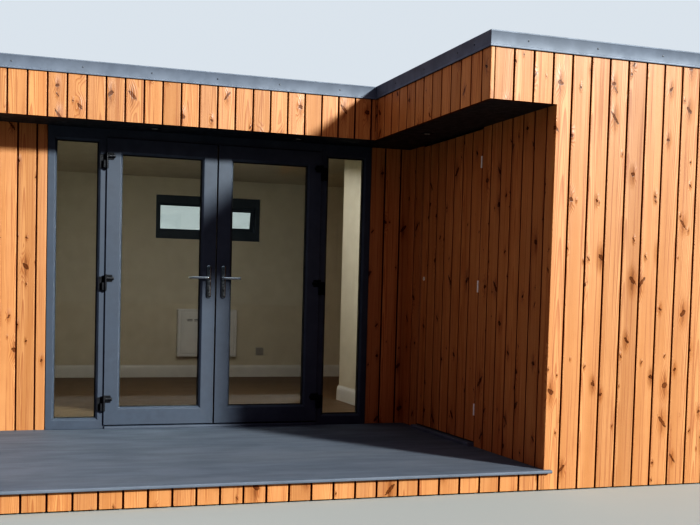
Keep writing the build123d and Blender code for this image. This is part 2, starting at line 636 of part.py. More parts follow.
def door_hinge_leaf(z):
    """A butt hinge's half on the door's edge: leaf and bored middle knuckle."""
    x, y = store_hinge_line()
    third = STORE_HINGE_HEIGHT / 3
    door_edge = STORE_DOOR_START + STORE_DOOR_GAP
    leaf_y = (door_edge - STORE_HINGE_LEAF, door_edge)
    leaf_z = (z - third / 2 + HINGE_GAP, z + third / 2 - HINGE_GAP)
    leaf = block((x, CLADDING + STORE_DOOR_CORE / 2), leaf_y, leaf_z)
    knuckle = Pos(x, y, z) * Cylinder(STORE_HINGE_RADIUS, third - 2 * HINGE_GAP)
    return knuckle + leaf - Pos(x, y, z) * Cylinder(STORE_PIN + PIN_GAP, STORE_HINGE_HEIGHT)


def rear_window():
    """A wide high window: a fixed light and a top-hung sash standing ajar."""
    x = (WINDOW_LEFT + FIT, WINDOW_LEFT + WINDOW_WIDTH - FIT)
    z = (WINDOW_SILL + FIT, WINDOW_TOP - FIT)
    y = (BUILDING_DEPTH - WINDOW_INSET - WINDOW_DEPTH, BUILDING_DEPTH - WINDOW_INSET)
    frame = block(x, y, z)
    sash_x = (x[1] - WINDOW_FRAME - SASH_WIDTH, x[1] - WINDOW_FRAME)
    light_z = (z[0] + WINDOW_RAIL, z[1] - WINDOW_RAIL)
    fixed_x = (x[0] + WINDOW_FRAME, sash_x[0] - WINDOW_MULLION)
    through = (y[0] - PAST, y[1] + PAST)
    frame -= block(fixed_x, through, light_z)
    frame -= block(sash_x, through, light_z)
    cill_y = (y[1] - FIT, BUILDING_DEPTH + WINDOW_CILL_REACH)
    frame += block(x, cill_y, (z[0], z[0] + WINDOW_CILL))
    save("rear_window_frame", frame)
    frame_mid = (y[0] + y[1]) / 2
    glass_y = (frame_mid - WINDOW_GLASS / 2, frame_mid + WINDOW_GLASS / 2)
    fixed_glass = block(fixed_x, glass_y, light_z)
    leaf_x = (sash_x[0] + SASH_GAP, sash_x[1] - SASH_GAP)
    leaf_z = (light_z[0] + SASH_GAP, light_z[1] - FIT)
    leaf_y = (y[1] - SASH_DEPTH, y[1])
    sash = block(leaf_x, leaf_y, leaf_z)
    hole_x = (leaf_x[0] + WINDOW_SASH, leaf_x[1] - WINDOW_SASH)
    hole_z = (leaf_z[0] + WINDOW_SASH, leaf_z[1] - WINDOW_SASH)
    sash -= block(hole_x, (leaf_y[0] - PAST, leaf_y[1] + PAST), hole_z)
    glass_mid = (leaf_y[0] + leaf_y[1]) / 2
    sash_glass_y = (glass_mid - WINDOW_GLASS / 2, glass_mid + WINDOW_GLASS / 2)
    sash_glass = block(hole_x, sash_glass_y, hole_z)
    hinge = Axis((0, leaf_y[1], leaf_z[1]), (1, 0, 0))
    save("rear_window_sash", sash.rotate(hinge, SASH_OPEN))
    save("rear_window_glass", fixed_glass, sash_glass.rotate(hinge, SASH_OPEN))


def fittings():
    """Panel heater, socket and skirting boards in the office."""
    heater_y = (INNER_REAR - HEATER_DEPTH, INNER_REAR)
    heater_z = (HEATER_FOOT, HEATER_FOOT + HEATER_HEIGHT)
    heater = block((HEATER_LEFT, HEATER_LEFT + HEATER_WIDTH), heater_y, heater_z)
    save("panel_heater", fillet(heater.edges().group_by(Axis.Y)[0], HEATER_EDGE))
    socket_y = (INNER_REAR - SOCKET_DEPTH, INNER_REAR)
    socket_z = (SOCKET_FOOT, SOCKET_FOOT + SOCKET_SIZE)
    socket = block((SOCKET_LEFT, SOCKET_LEFT + SOCKET_SIZE), socket_y, socket_z)
    save("wall_socket", chamfer(socket.faces().sort_by(Axis.Y)[0].edges(), SOCKET_EDGE))
    z = (FLOOR_TOP, FLOOR_TOP + SKIRTING_HEIGHT)
    store_rear = STORE_ROOM_DEPTH + PARTITION
    room_x = (INNER_LEFT + SKIRTING + FIT, INNER_RIGHT - SKIRTING - FIT)
    rear = block(room_x, (INNER_REAR - SKIRTING, INNER_REAR), z)
    left = block((INNER_LEFT, INNER_LEFT + SKIRTING), (INNER_FRONT, INNER_REAR), z)
    right = block((INNER_RIGHT - SKIRTING, INNER_RIGHT), (store_rear, INNER_REAR), z)
    nib = block((-SKIRTING, 0), (INNER_FRONT, store_rear + SKIRTING), z)
    store_back = block((FIT, room_x[1]), (store_rear, store_rear + SKIRTING), z)
    save("skirting", rear, left, right, nib, store_back)


base_and_floors()
deck()
outer_walls()
partitions()
cladding()
canopy()
roof()
sidelights()
door_frame()
double_doors()
store_door()
rear_window()
fittings()
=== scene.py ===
import math

import bmesh
import bpy
import numpy as np
from mathutils import Matrix, Vector


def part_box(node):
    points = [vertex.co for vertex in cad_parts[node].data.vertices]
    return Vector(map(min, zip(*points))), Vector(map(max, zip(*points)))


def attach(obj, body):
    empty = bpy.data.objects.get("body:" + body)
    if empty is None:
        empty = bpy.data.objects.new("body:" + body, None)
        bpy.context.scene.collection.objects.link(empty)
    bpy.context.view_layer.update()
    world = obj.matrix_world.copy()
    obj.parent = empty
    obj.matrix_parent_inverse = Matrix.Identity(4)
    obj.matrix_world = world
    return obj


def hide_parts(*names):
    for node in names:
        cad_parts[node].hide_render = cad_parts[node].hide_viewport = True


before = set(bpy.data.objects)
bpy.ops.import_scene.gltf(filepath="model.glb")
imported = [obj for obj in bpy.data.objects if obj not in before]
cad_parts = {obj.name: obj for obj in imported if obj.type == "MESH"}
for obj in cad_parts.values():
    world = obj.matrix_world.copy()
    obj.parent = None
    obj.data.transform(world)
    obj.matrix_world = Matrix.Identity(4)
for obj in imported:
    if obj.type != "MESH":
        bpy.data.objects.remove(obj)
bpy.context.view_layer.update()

# Floor cassettes
# Pressure-treated softwood frames filled with insulation and boxed in sheet on the ground.
# They carry the walls, and only their green-brown edges show, low down behind the boards.


def add_node(tree, kind, sockets=None, **settings):
    """Adds one node to a tree; each socket is given a value, a colour of three numbers, or the
    output that feeds it."""
    made = tree.nodes.new("ShaderNode" + kind)
    for key, value in settings.items():
        setattr(made, key, value)
    for name, value in (sockets or {}).items():
        if isinstance(value, bpy.types.NodeSocket):
            tree.links.new(value, made.inputs[name])
        elif made.inputs[name].type == "RGBA":
            made.inputs[name].default_value = (*value, 1)
        else:
            made.inputs[name].default_value = value
    return made


def tree_of(*values):
    """The node tree that the first output among the values belongs to."""
    return next(value.id_data for value in values if isinstance(value, bpy.types.NodeSocket))


def worked(operation, *values):
    """One Math node on values or outputs, taken in order."""
    made = add_node(tree_of(*values), "Math", dict(enumerate(values)), operation=operation)
    return made.outputs[0]


def times(first, second):
    """The product of two values."""
    return worked("MULTIPLY", first, second)


def ranged(value, low, high, to_low=0.0, to_high=1.0, kind="SMOOTHSTEP"):
    """A value between two limits brought to two others, with an eased course."""
    sockets = {0: value, 1: low, 2: high, 3: to_low, 4: to_high}
    return add_node(value.id_data, "MapRange", sockets, interpolation_type=kind).outputs[0]


def tinted(factor, first, second, kind="MIX"):
    """Two colours blended by a factor, as paint layers are."""
    sockets = {0: factor, 6: first, 7: second}
    tree = tree_of(factor, first, second)
    return add_node(tree, "Mix", sockets, data_type="RGBA", blend_type=kind).outputs[2]


def stretched(vector, scale):
    """A coordinate multiplied along its three axes."""
    sockets = {0: vector, 1: scale}
    return add_node(vector.id_data, "VectorMath", sockets, operation="MULTIPLY").outputs[0]


def noise(vector, scale, detail=3.0, roughness=0.55):
    """Cloudy noise between 0 and 1 at a scale in patches for each metre."""
    sockets = {"Vector": vector, "Scale": scale, "Detail": detail, "Roughness": roughness}
    return add_node(vector.id_data, "TexNoise", sockets).outputs[0]


def new_group(name, inputs, outputs):
    """An empty shader group with float or vector sockets in and float sockets out."""
    group = bpy.data.node_groups.new(name, "ShaderNodeTree")
    for socket, kind in inputs:
        group.interface.new_socket(socket, in_out="INPUT", socket_type=kind)
    for socket in outputs:
        group.interface.new_socket(socket, in_out="OUTPUT", socket_type="NodeSocketFloat")
    return group, group.nodes.new("NodeGroupInput"), group.nodes.new("NodeGroupOutput")


def knot_field(group, axes, seed, cells, present, sizes, salt):
    """One knot for each cell of a grid over the board's face, where the cell is lucky: the two
    distances from the knot's middle in metres, its radius, its slant and whether it is there."""
    place = add_node(group, "CombineXYZ", {
        0: worked("MULTIPLY_ADD", axes[0], cells[0], times(seed, 53.0 + salt)),
        1: worked("MULTIPLY_ADD", axes[2], cells[1], times(seed, 29.0 + salt)),
    }).outputs[0]
    field = add_node(group, "TexVoronoi", {"Vector": place, "Scale": 1.0, "Randomness": 0.8},
                     voronoi_dimensions="2D")
    apart = add_node(group, "VectorMath", {0: place, 1: field.outputs["Position"]},
                     operation="SUBTRACT").outputs[0]
    apart = add_node(group, "SeparateXYZ", {0: apart}).outputs
    luck = add_node(group, "SeparateColor", {0: field.outputs["Color"]}).outputs
    across = times(apart[0], 1 / cells[0])
    along = times(apart[1], 1 / cells[1])
    radius = ranged(luck[0], present, 1.0, sizes[0], sizes[1], "LINEAR")
    there = ranged(luck[0], present, present + 0.02)
    return across, along, radius, luck[1], there


def squared_sum(first, second):
    """The root of two squares' sum."""
    return worked("SQRT", worked("MULTIPLY_ADD", first, first, times(second, second)))


def timber_grain_group():
    """Growth rings cut lengthwise, fine streaks and knots. The ring value is the fraction of
    the distance to a pith that lies behind the face and falls away along the length, so the
    rings run out in arches; near a knot that distance swells, and the rings bend round it.
    A knot is a slanted oval with a ragged edge and a dark tail along the grain."""
    group, given, out = new_group(
        "timber_grain",
        [("Grain", "NodeSocketVector"), ("Seed", "NodeSocketFloat"), ("Ring", "NodeSocketFloat")],
        ["Rings", "Streaks", "Broad", "Knot", "Rim", "Halo", "Tail", "Height"],
    )
    seed = given.outputs["Seed"]
    axes = add_node(group, "SeparateXYZ", {0: given.outputs["Grain"]}).outputs
    shift = {0: times(seed, 17.3), 1: times(seed, 5.1), 2: times(seed, 91.7)}
    shift = add_node(group, "CombineXYZ", shift).outputs[0]
    moved = add_node(group, "VectorMath", {0: given.outputs["Grain"], 1: shift}).outputs[0]
    broad = noise(stretched(moved, (16.0, 16.0, 0.7)), 1.0, 2.0)
    streaks = noise(stretched(moved, (92.0, 92.0, 1.1)), 1.0, 5.0, 0.66)
    ragged = worked("MULTIPLY_ADD", noise(moved, 95.0, 3.0), 0.020, -0.010)
    waver = worked("MULTIPLY_ADD", noise(moved, 38.0, 2.0), 0.022, -0.011)
    knot, rim, halo, tail = 0.0, 0.0, 0.0, 0.0
    for cells, present, sizes, salt in (((8.3, 2.9), 0.40, (0.0065, 0.0165), 0.0),
                                        ((17.0, 6.1), 0.86, (0.0022, 0.0050), 7.0)):
        found = knot_field(group, axes, seed, cells, present, sizes, salt)
        across, along, radius, slant, there = found
        lean = worked("MULTIPLY_ADD", slant, 2.6, -1.3)
        upright = worked("MULTIPLY_ADD", across, lean, along)
        steep = ranged(worked("ABSOLUTE", lean), 0.5, 1.3, 0.85, 0.46)
        near = squared_sum(times(across, steep), upright)
        far = squared_sum(across, times(along, 0.38))
        thin = squared_sum(times(worked("ADD", across, waver), 2.6), times(along, 0.30))
        depth = worked("SUBTRACT", worked("ADD", near, ragged), radius)
        core = times(ranged(depth, 0.0014, -0.0014), there)
        knot = worked("MAXIMUM", core, knot)
        inner = ranged(depth, -0.0070, -0.0010)
        rim = worked("MAXIMUM", times(core, inner), rim)
        away = ranged(worked("DIVIDE", far, times(radius, 3.4)), 1.0, 0.15)
        halo = worked("MAXIMUM", times(away, there), halo)
        trail = ranged(worked("DIVIDE", thin, times(radius, 1.9)), 1.0, 0.35)
        tail = worked("MAXIMUM", times(trail, there), tail)
    wander = worked("MULTIPLY_ADD", broad, 0.034, -0.017)
    sideways = worked("SINE", times(seed, 91.0))
    side = worked("MULTIPLY_ADD", sideways, 0.07, axes[0])
    side = worked("ADD", side, wander)
    behind = worked("FRACT", times(seed, 7.31))
    behind = worked("MULTIPLY_ADD", behind, 0.05, 0.012)
    behind = worked("ADD", behind, times(axes[2], 0.013))
    behind = worked("ADD", behind, axes[1])
    pith = squared_sum(side, behind)
    pith = worked("ADD", pith, times(halo, 0.013))
    turn = worked("FRACT", worked("DIVIDE", pith, given.outputs["Ring"]))
    rings = times(ranged(turn, 0.35, 0.92), ranged(turn, 1.0, 0.94))
    height = worked("MULTIPLY_ADD", rings, 0.5, times(streaks, 0.5))
    height = worked("MULTIPLY_ADD", times(rings, halo), 0.9, height)
    height = worked("SUBTRACT", height, times(knot, 0.3))
    for name, value in (("Rings", rings), ("Streaks", streaks), ("Broad", broad), ("Knot", knot),
                        ("Rim", rim), ("Halo", halo), ("Tail", tail), ("Height", height)):
        group.links.new(value, out.inputs[name])
    return group


timber_grain = timber_grain_group()


def new_finish(name, **constants):
    """A material with its Principled shader, whose own sockets take the constants given."""
    material = bpy.data.materials.new(name)
    material.use_nodes = True
    shader = material.node_tree.nodes["Principled BSDF"]
    for socket, value in constants.items():
        shader.inputs[socket.replace("_", " ")].default_value = value
    return material, material.node_tree, shader


def raised(shader, height, depth, strength=1.0):
    """A height that lifts the surface by the depth given, in metres."""
    sockets = {"Height": height, "Distance": depth, "Strength": strength}
    feed(shader, Normal=add_node(shader.id_data, "Bump", sockets).outputs[0])


def object_place(tree):
    """The Object coordinate, which is the row frame's metres on every piece here."""
    return add_node(tree, "TexCoord").outputs["Object"]


def dress(material, *names):
    """Gives CAD nodes their material."""
    for name in names:
        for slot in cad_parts[name].material_slots:
            slot.material = material


def feed(shader, **outputs):
    """Links outputs to the shader's own sockets."""
    for socket, value in outputs.items():
        shader.id_data.links.new(value, shader.inputs[socket.replace("_", " ")])


def grained(tree, ring, own_grain=True):
    """The grain group placed in a material, with rings of a width in metres, on the piece's
    own grain and seed or on the Object coordinates: its outputs, the place and the seed."""
    grain, seed = add_node(tree, "Group", node_tree=timber_grain), None
    if own_grain:
        place = add_node(tree, "Attribute", attribute_name="grain").outputs["Vector"]
        seed = add_node(tree, "Attribute", attribute_name="seed").outputs["Fac"]
        tree.links.new(seed, grain.inputs["Seed"])
    else:
        place = object_place(tree)
    tree.links.new(place, grain.inputs["Grain"])
    grain.inputs["Ring"].default_value = ring
    return grain.outputs, place, seed


def rough_timber(name, pale, dark, own_grain=False, **constants):
    """Sawn or planed timber out of the weather: streaks and rings in two tones."""
    material, tree, shader = new_finish(name, **constants)
    grain = grained(tree, 0.006, own_grain)[0]
    colour = tinted(grain["Streaks"], pale, dark)
    feed(shader, Base_Color=tinted(grain["Rings"], colour, dark))
    raised(shader, grain["Height"], 0.0008)
    return material


treated = rough_timber("treated_timber", (0.20, 0.17, 0.09), (0.07, 0.06, 0.03), Roughness=0.85)
dress(treated, "office_base", "store_base", "deck_base")


# Deck top
# A smooth dark grey sheet of coated decking, turned down over a rounded nose at the front.
# The coating has a faint mottle, drawn out along the deck, and lighter scuffs.


def mottle_group():
    """Three sizes of cloud at fixed ratios: blotches, cloud and grit, for dust and sheen."""
    group, given, out = new_group(
        "mottle",
        [("Place", "NodeSocketVector"), ("Scale", "NodeSocketFloat")],
        ["Blotches", "Cloud", "Grit"],
    )
    place, scale = given.outputs["Place"], given.outputs["Scale"]
    for name, ratio, detail in (("Blotches", 1.0, 2.0), ("Cloud", 7.0, 4.0), ("Grit", 160.0, 2.0)):
        value = noise(place, times(scale, ratio), detail, 0.6)
        group.links.new(ranged(value, 0.3, 0.7), out.inputs[name])
    return group


mottle = mottle_group()


def mottled(tree, scale, place=None):
    """The mottle group placed in a material at a scale in blotches for each metre."""
    made = add_node(tree, "Group", node_tree=mottle)
    tree.links.new(place or object_place(tree), made.inputs["Place"])
    made.inputs["Scale"].default_value = scale
    return made.outputs


def uneven(cloud, rough):
    """A roughness that runs from its first value to its second with the clouds."""
    return worked("MULTIPLY_ADD", cloud["Cloud"], rough[1] - rough[0], rough[0])


def coated(name, pale, dark, dust, rough, scale=2.0, grit=0.0003, stretch=(1, 1, 1), **constants):
    """A painted, coated or moulded surface: two tones in clouds, dust on top, fine grit, all
    drawn out along an axis where its stretch is below one."""
    material, tree, shader = new_finish(name, **constants)
    cloud = mottled(tree, scale, stretched(object_place(tree), stretch))
    colour = tinted(cloud["Cloud"], pale, dark)
    colour = tinted(times(cloud["Blotches"], dust[3]), colour, dust[:3])
    feed(shader, Base_Color=colour, Roughness=uneven(cloud, rough))
    raised(shader, cloud["Grit"], grit, 0.6)
    return material


deck_coat = coated("deck_coat", (0.136, 0.159, 0.190), (0.100, 0.121, 0.148),
                   (0.17, 0.18, 0.19, 0.30), (0.66, 0.69), 1.6, 0.0005, (0.25, 1, 1),
                   Specular_IOR_Level=0.25)
dress(deck_coat, "deck_boards")


# Boards below the deck
# Upright softwood boards on edge of the deck's base, the same section as the walls.
# Each is rebated so that its neighbour leaves a channel with eased arrises, darkened by painted
# shade.

corner = np.array(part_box("store_front_cladding")[0]) * (1, 1, 0)
BOARD, COVER, NARROWEST = 22, 121.0, 9  # thickness, width covered, and the least width cut
# Each kind of edge is an outline of insets and depths from the board's back round to its face.
EDGES = {
    "groove": [(0, BOARD), (0, 12), (4.3, 12), (4.7, 2.6), (5.8, 0.9), (8.0, 0.15), (12, 0)],
    "corner": [(0, BOARD), (0, 15), (0, 8), (0, 1.8), (0.55, 0.55), (1.8, 0), (6, 0)],
    "flush": [(0, BOARD), (0, 17), (0, 12), (0, 6), (0, 0), (2, 0), (6, 0)],
    "gap": [(0, BOARD), (0, 15), (0, 9), (0, 5.0), (1.8, 2.0), (4.4, 0.4), (8, 0)],
}


def metres(x, y, z):
    """Plan millimetres from the store's front left corner, in the row frame's metres."""
    return np.stack(np.broadcast_arrays(x, y, z), -1) / 1000.0 + corner


def limits(node):
    """A CAD node's lowest and highest corners in plan millimetres, as three pairs."""
    return np.round((np.array(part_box(node)) - corner).T * 1000.0, 2)


def laid(start, end, first, low, high, ends=("corner", "corner")):
    """Boards of one cover width between two ends, with a groove at first and every cover from
    it: rows of left, right, foot, top, left edge, right edge and the whole board's middle."""
    count = math.ceil((start - first) / COVER)
    cuts = np.arange(first + count * COVER, end, COVER)
    cuts = [c for c in cuts.tolist() if start + NARROWEST < c < end - NARROWEST]
    cuts = [start, *cuts, end]
    rows = []
    for i, (a, b) in enumerate(zip(cuts, cuts[1:])):
        left = ends[0] if i == 0 else "groove"
        right = ends[1] if i == len(cuts) - 2 else "groove"
        middle = b - COVER / 2 if i == 0 and b != end else a + COVER / 2
        rows.append((a, b, low, high, left, right, middle))
    return rows


def board_surface(rows, origin, across, along, inward, seed):
    """Boards as one surface: the section is the left edge's outline followed by the right
    edge's in reverse, and it is carried along the board; the whole section drifts in and out
    by a few tenths of a millimetre along a sine whose phase comes from the board's luck, the
    fraction of a large sine of its middle. The grain's depth tells the channels apart, so an
    outside corner's edge counts as face."""
    left, right, low, high, starts, ends, middle = zip(*rows)
    left, right, low, high, middle = np.array([left, right, low, high, middle], float)[..., None]
    edge = np.array([[EDGES[kind] for kind in pair] for pair in zip(starts, ends)], float)
    half = (right - left) / 2
    u = np.concatenate([
        left + np.minimum(edge[:, 0, :, 0], half),
        (right - np.minimum(edge[:, 1, :, 0], half))[:, ::-1],
    ], 1)
    d = np.concatenate([edge[:, 0, :, 1], edge[:, 1, ::-1, 1]], 1)
    luck = np.modf(np.abs(np.sin((middle + seed) * 12.9898) * 43758.5453))[0]
    course = np.linspace(0.0, 1.0, 7)[None, :]
    w = low + (high - low) * course
    drift = 0.3 * np.sin(w / 310.0 + luck * 40.0) * np.sin(np.pi * course)
    u, w, seeds = np.broadcast_arrays(u[:, None, :], w[:, :, None], luck[:, :, None])
    d = d[:, None, :] + np.where(d[:, None, :] < BOARD - 2, drift[:, :, None] + 0.3, 0.0)
    place = (np.array(origin, float) + u[..., None] * np.array(across, float)
             + w[..., None] * np.array(along, float) + d[..., None] * np.array(inward, float))
    # An outside corner's edge is kept out of the channels' painted shade.
    outside = np.repeat(np.stack([starts, ends], 1) == "corner", edge.shape[2], 1)
    depth = d * np.where(outside, 0.05, 1.0)[:, None, :]
    grain = np.stack([u - middle[:, :, None], depth, w], -1) / 1000.0
    index = np.arange(u.size).reshape(u.shape)
    step = np.roll(index, -1, 2)
    quads = np.stack([index[:, :-1], step[:, :-1], step[:, 1:], index[:, 1:]], -1).reshape(-1, 4)
    faces = [*quads.tolist(), *index[:, 0].tolist(), *index[:, -1].tolist()]
    return place.reshape(-1, 3), faces, {"grain": grain.reshape(-1, 3), "seed": seeds.ravel()}


def joined(*surfaces):
    """Several surfaces as one: their corners, faces and attributes in a row."""
    corners, faces, attributes, count = [], [], {}, 0
    for surface in surfaces:
        corners.append(surface[0])
        faces += [[i + count for i in face] for face in surface[1]]
        for name, values in (surface[2] if len(surface) > 2 else {}).items():
            attributes.setdefault(name, []).append(values)
        count += len(surface[0])
    return np.concatenate(corners), faces, {k: np.concatenate(v) for k, v in attributes.items()}


def make_piece(name, surface, material, node=None, body="root"):
    """Puts a surface in plan millimetres into a mesh in the row frame, with its faces turned
    outwards and its attributes kept; it rides on its body and may stand for a CAD node."""
    corners, faces = surface[0], surface[1]
    mesh = bpy.data.meshes.new(name)
    mesh.from_pydata(metres(*np.asarray(corners, float).T).tolist(), [], faces)
    work = bmesh.new()
    work.from_mesh(mesh)
    bmesh.ops.recalc_face_normals(work, faces=work.faces)
    work.to_mesh(mesh)
    work.free()
    for key, values in (surface[2] if len(surface) > 2 else {}).items():
        kind, part = ("FLOAT_VECTOR", "vector") if values.ndim == 2 else ("FLOAT", "value")
        mesh.attributes.new(key, kind, "POINT").data.foreach_set(part, values.ravel())
    mesh.polygons.foreach_set("use_smooth", np.ones(len(mesh.polygons), bool))
    mesh.set_sharp_from_angle(angle=math.radians(32.0))
    mesh.materials.append(material)
    made = bpy.data.objects.new(name, mesh)
    bpy.context.scene.collection.objects.link(made)
    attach(made, body)
    if node:
        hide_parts(node)


def stained_boards():
    """Oiled softwood, golden where it is plain, redder in the streaks and near black in the rim of
    a knot;
    the channels are darkened by depth as painted shade. Each board has a tone of its own from its
    seed."""
    material, tree, shader = new_finish("oiled_boards", Specular_IOR_Level=0.42, Coat_Weight=0.06,
                                        Coat_Roughness=0.3)
    lot, place, seed = grained(tree, 0.0046)
    layers = (
        (ranged(lot["Streaks"], 0.52, 0.66), 0.60, (0.250, 0.075, 0.022)),
        (lot["Rings"], 0.50, (0.260, 0.073, 0.020)),
        (lot["Halo"], 0.34, (0.270, 0.083, 0.026)),
        (lot["Tail"], 0.42, (0.085, 0.020, 0.006)),
        (lot["Knot"], 0.76, (0.090, 0.027, 0.009)),
        (lot["Rim"], 0.62, (0.022, 0.006, 0.003)),
    )
    broad = ranged(lot["Broad"], 0.3, 0.7)
    colour = tinted(broad, (0.530, 0.276, 0.113), (0.460, 0.223, 0.083))
    for mask, weight, tint in layers:
        colour = tinted(times(mask, weight), colour, tint)
    lot_tone = worked("FRACT", times(seed, 3.7))
    tone = ranged(lot_tone, 0.0, 1.0, 0.88, 1.10, "LINEAR")
    shade = add_node(tree, "CombineColor", {0: tone, 1: tone, 2: tone}).outputs[0]
    colour = tinted(1.0, colour, shade, "MULTIPLY")
    cloud = mottled(tree, 1.1)
    colour = tinted(times(cloud["Cloud"], 0.14), colour, (0.34, 0.13, 0.042))
    # Painted shade: the colour darkens towards the floor of each channel, by the grain's depth.
    down = add_node(tree, "SeparateXYZ", {0: place}).outputs[1]
    painted_channel_shade = ranged(down, 0.0012, 0.0045, 0.0, 0.93)
    colour = tinted(painted_channel_shade, colour, (0.095, 0.021, 0.008))
    rough = ranged(lot["Streaks"], 0.3, 0.8, 0.40, 0.58, "LINEAR")
    rough = worked("ADD", rough, times(cloud["Blotches"], 0.06))
    rough = worked("SUBTRACT", rough, times(lot["Halo"], 0.15))
    rough = worked("SUBTRACT", rough, times(lot["Knot"], 0.10))
    feed(shader, Base_Color=colour, Roughness=rough)
    raised(shader, lot["Height"], 0.0009, 0.8)
    return material


oiled_boards = stained_boards()
RIGHTWARDS, BACKWARDS, UP = (1, 0, 0), (0, 1, 0), (0, 0, 1)
LEFTWARDS, FORWARDS, DOWN = (-1, 0, 0), (0, -1, 0), (0, 0, -1)
# Each face's way across, way along its boards and way inwards.
FRONT_FACE, REAR_FACE = (RIGHTWARDS, UP, BACKWARDS), (RIGHTWARDS, UP, FORWARDS)
LEFT_FACE, RIGHT_FACE = (BACKWARDS, UP, RIGHTWARDS), (BACKWARDS, UP, LEFTWARDS)


def board_piece(name, node, *surfaces, body="root"):
    """Boards as one piece that stands for a CAD node."""
    make_piece(name, joined(*surfaces), oiled_boards, node, body)


x, y, z = limits("deck_cladding")
front = board_surface(laid(*x, -36, *z), (0, 0, 0), *FRONT_FACE, 15)
end = board_surface(laid(y[0] + BOARD, y[1], 60, *z), (x[0], 0, 0), *LEFT_FACE, 12)
board_piece("boards_below_deck", "deck_cladding", front, end)


# Wall panels and partitions
# Insulated timber panels, lined inside with plasterboard painted a warm white; the store
# is lined with pale sheet. The paint has a roller's faint orange peel.


def painted_wall(name, pale, dark):
    """Rolled emulsion: two near whites in clouds and a fine orange peel."""
    return coated(name, pale, dark, (0.60, 0.54, 0.44, 0.10), (0.72, 0.86), 0.8, 0.0001)


plaster = painted_wall("warm_plaster", (0.74, 0.69, 0.58), (0.69, 0.64, 0.53))
pale_sheet = rough_timber("pale_sheathing", (0.52, 0.40, 0.25), (0.40, 0.29, 0.17), Roughness=0.8)
dress(plaster, "left_wall", "right_wall", "rear_wall", "front_wall", "wall_headers",
      "partition_wall", "store_rear_wall", "ceiling")
dress(pale_sheet, "store_front_wall", "store_side_wall", "store_floor")


# Outside boards
# The same rebated softwood boards stand on every face, secret-nailed to battens. They run
# from just above the ground to the roof trim, and from deck to soffit inside the porch.


def around(rows, left, right, foot, top):
    """Boards cut round a hole: what is beside, below and above it stays, without a groove."""
    kept = []
    for row in rows:
        a, b, low, high, start, end, middle = row
        if b <= left or a >= right:
            kept.append(row)
            continue
        if a < left:
            kept.append((a, left, low, high, start, "flush", middle))
        if b > right:
            kept.append((right, b, low, high, "flush", end, middle))
        inner = (max(a, left), min(b, right))
        edges = (start if a >= left else "flush", end if b <= right else "flush")
        kept.append((*inner, low, foot, *edges, middle))
        kept.append((*inner, top, high, *edges, middle))
    return kept


x, y, z = limits("store_front_cladding")
soffit = limits("soffits")[2][0]
rows = laid(x[0] - 27, x[1], 94, *z)
first = rows.pop(0)
rows += [(x[0], 94, z[0], soffit, "corner", "groove", first[6]),
         (x[0], 94, soffit, z[1], "flush", "groove", first[6])]
front = board_surface(rows, (0, 0, 0), *FRONT_FACE, 21)
board_piece("store_front_boards", "store_front_cladding", front)

x, y, z = limits("store_side_cladding")
door_y = limits("store_door_cladding")[1]
GAP = 4
rows = laid(y[0], door_y[0] - GAP, 95, *z, ("flush", "gap"))
rows += laid(door_y[1] + GAP, y[1], 1789, *z, ("gap", "flush"))
side = board_surface(rows, (0, 0, 0), *LEFT_FACE, 22)
board_piece("store_side_boards", "store_side_cladding", side)

x, y, z = limits("front_cladding")
left_end, right_start = limits("left_sidelight_frame")[0][0], limits("right_sidelight_frame")[0][1]
rows = laid(x[0], left_end, -2666, *z, ("corner", "gap")) + [
    (right_start, -193, *z, "gap", "groove", -253.5),
    (-193, -69, *z, "groove", "groove", -131),
    (-69, x[1], *z, "groove", "flush", -8.5),
]
front = board_surface(rows, (0, y[0], 0), *FRONT_FACE, 23)
board_piece("front_boards", "front_cladding", front)

x, y, z = limits("left_cladding")
side = board_surface(laid(*y, 2010, *z), (x[0], 0, 0), *LEFT_FACE, 24)
board_piece("left_boards", "left_cladding", side)

x, y, z = limits("right_cladding")
side = board_surface(laid(*y, 96, *z), (x[1], 0, 0), *RIGHT_FACE, 25)
board_piece("right_boards", "right_cladding", side)

x, y, z = limits("rear_cladding")
hole = limits("rear_window_frame")
rows = around(laid(*x, -1269, *z, ("flush", "flush")), *hole[0], *hole[2])
rear = board_surface(rows, (0, y[1], 0), *REAR_FACE, 26)
board_piece("rear_boards", "rear_cladding", rear)


# Canopy fascias, soffits and downlights
# Short lengths of the wall's board face the canopy, level with the walls' tops. Below it are
# smooth black sheets with round recessed lamps in dark rings.

NOOK_X, NOOK_Y = -412, 1576  # where the fascias' faces meet, over the deck's rear right corner
x, y, z = limits("front_fascia")
rows = laid(x[0], NOOK_X, -445, *z)
over_doors = board_surface(rows, (0, NOOK_Y, 0), *FRONT_FACE, 31)
rows = laid(NOOK_X + BOARD, x[1], -27, *z, ("groove", "flush"))
over_deck = board_surface(rows, (0, 0, 0), *FRONT_FACE, 21)
board_piece("front_fascia_boards", "front_fascia", over_doors, over_deck)

x, y, z = limits("side_fascia")
rows = laid(0, NOOK_Y, 97, *z, ("corner", "flush"))
beside = board_surface(rows, (NOOK_X, 0, 0), *LEFT_FACE, 32)
rows = laid(NOOK_Y + BOARD, y[1], 1720, *z, ("flush", "flush"))
left_end = board_surface(rows, (x[0], 0, 0), *LEFT_FACE, 33)
board_piece("side_fascia_boards", "side_fascia", beside, left_end)

black_sheet = coated("black_soffit", (0.055, 0.065, 0.080), (0.045, 0.053, 0.066),
                     (0.05, 0.05, 0.05, 0.2), (0.45, 0.6), 3.0)
dress(black_sheet, "soffits")

# The lenses are painted pale: a painted glint of reflected light on lenses that are dark while the
# lamps are off.
lens_painted_glint = coated("lens_painted_glint", (0.75, 0.75, 0.72), (0.68, 0.68, 0.65), (0.3, 0.3, 0.3, 0.1),
                   (0.12, 0.25), 9.0)
rim_metal = coated("lamp_rim", (0.030, 0.030, 0.033), (0.022, 0.022, 0.025),
                   (0.1, 0.1, 0.1, 0.2), (0.25, 0.4), 9.0)
dress(rim_metal, "downlights")


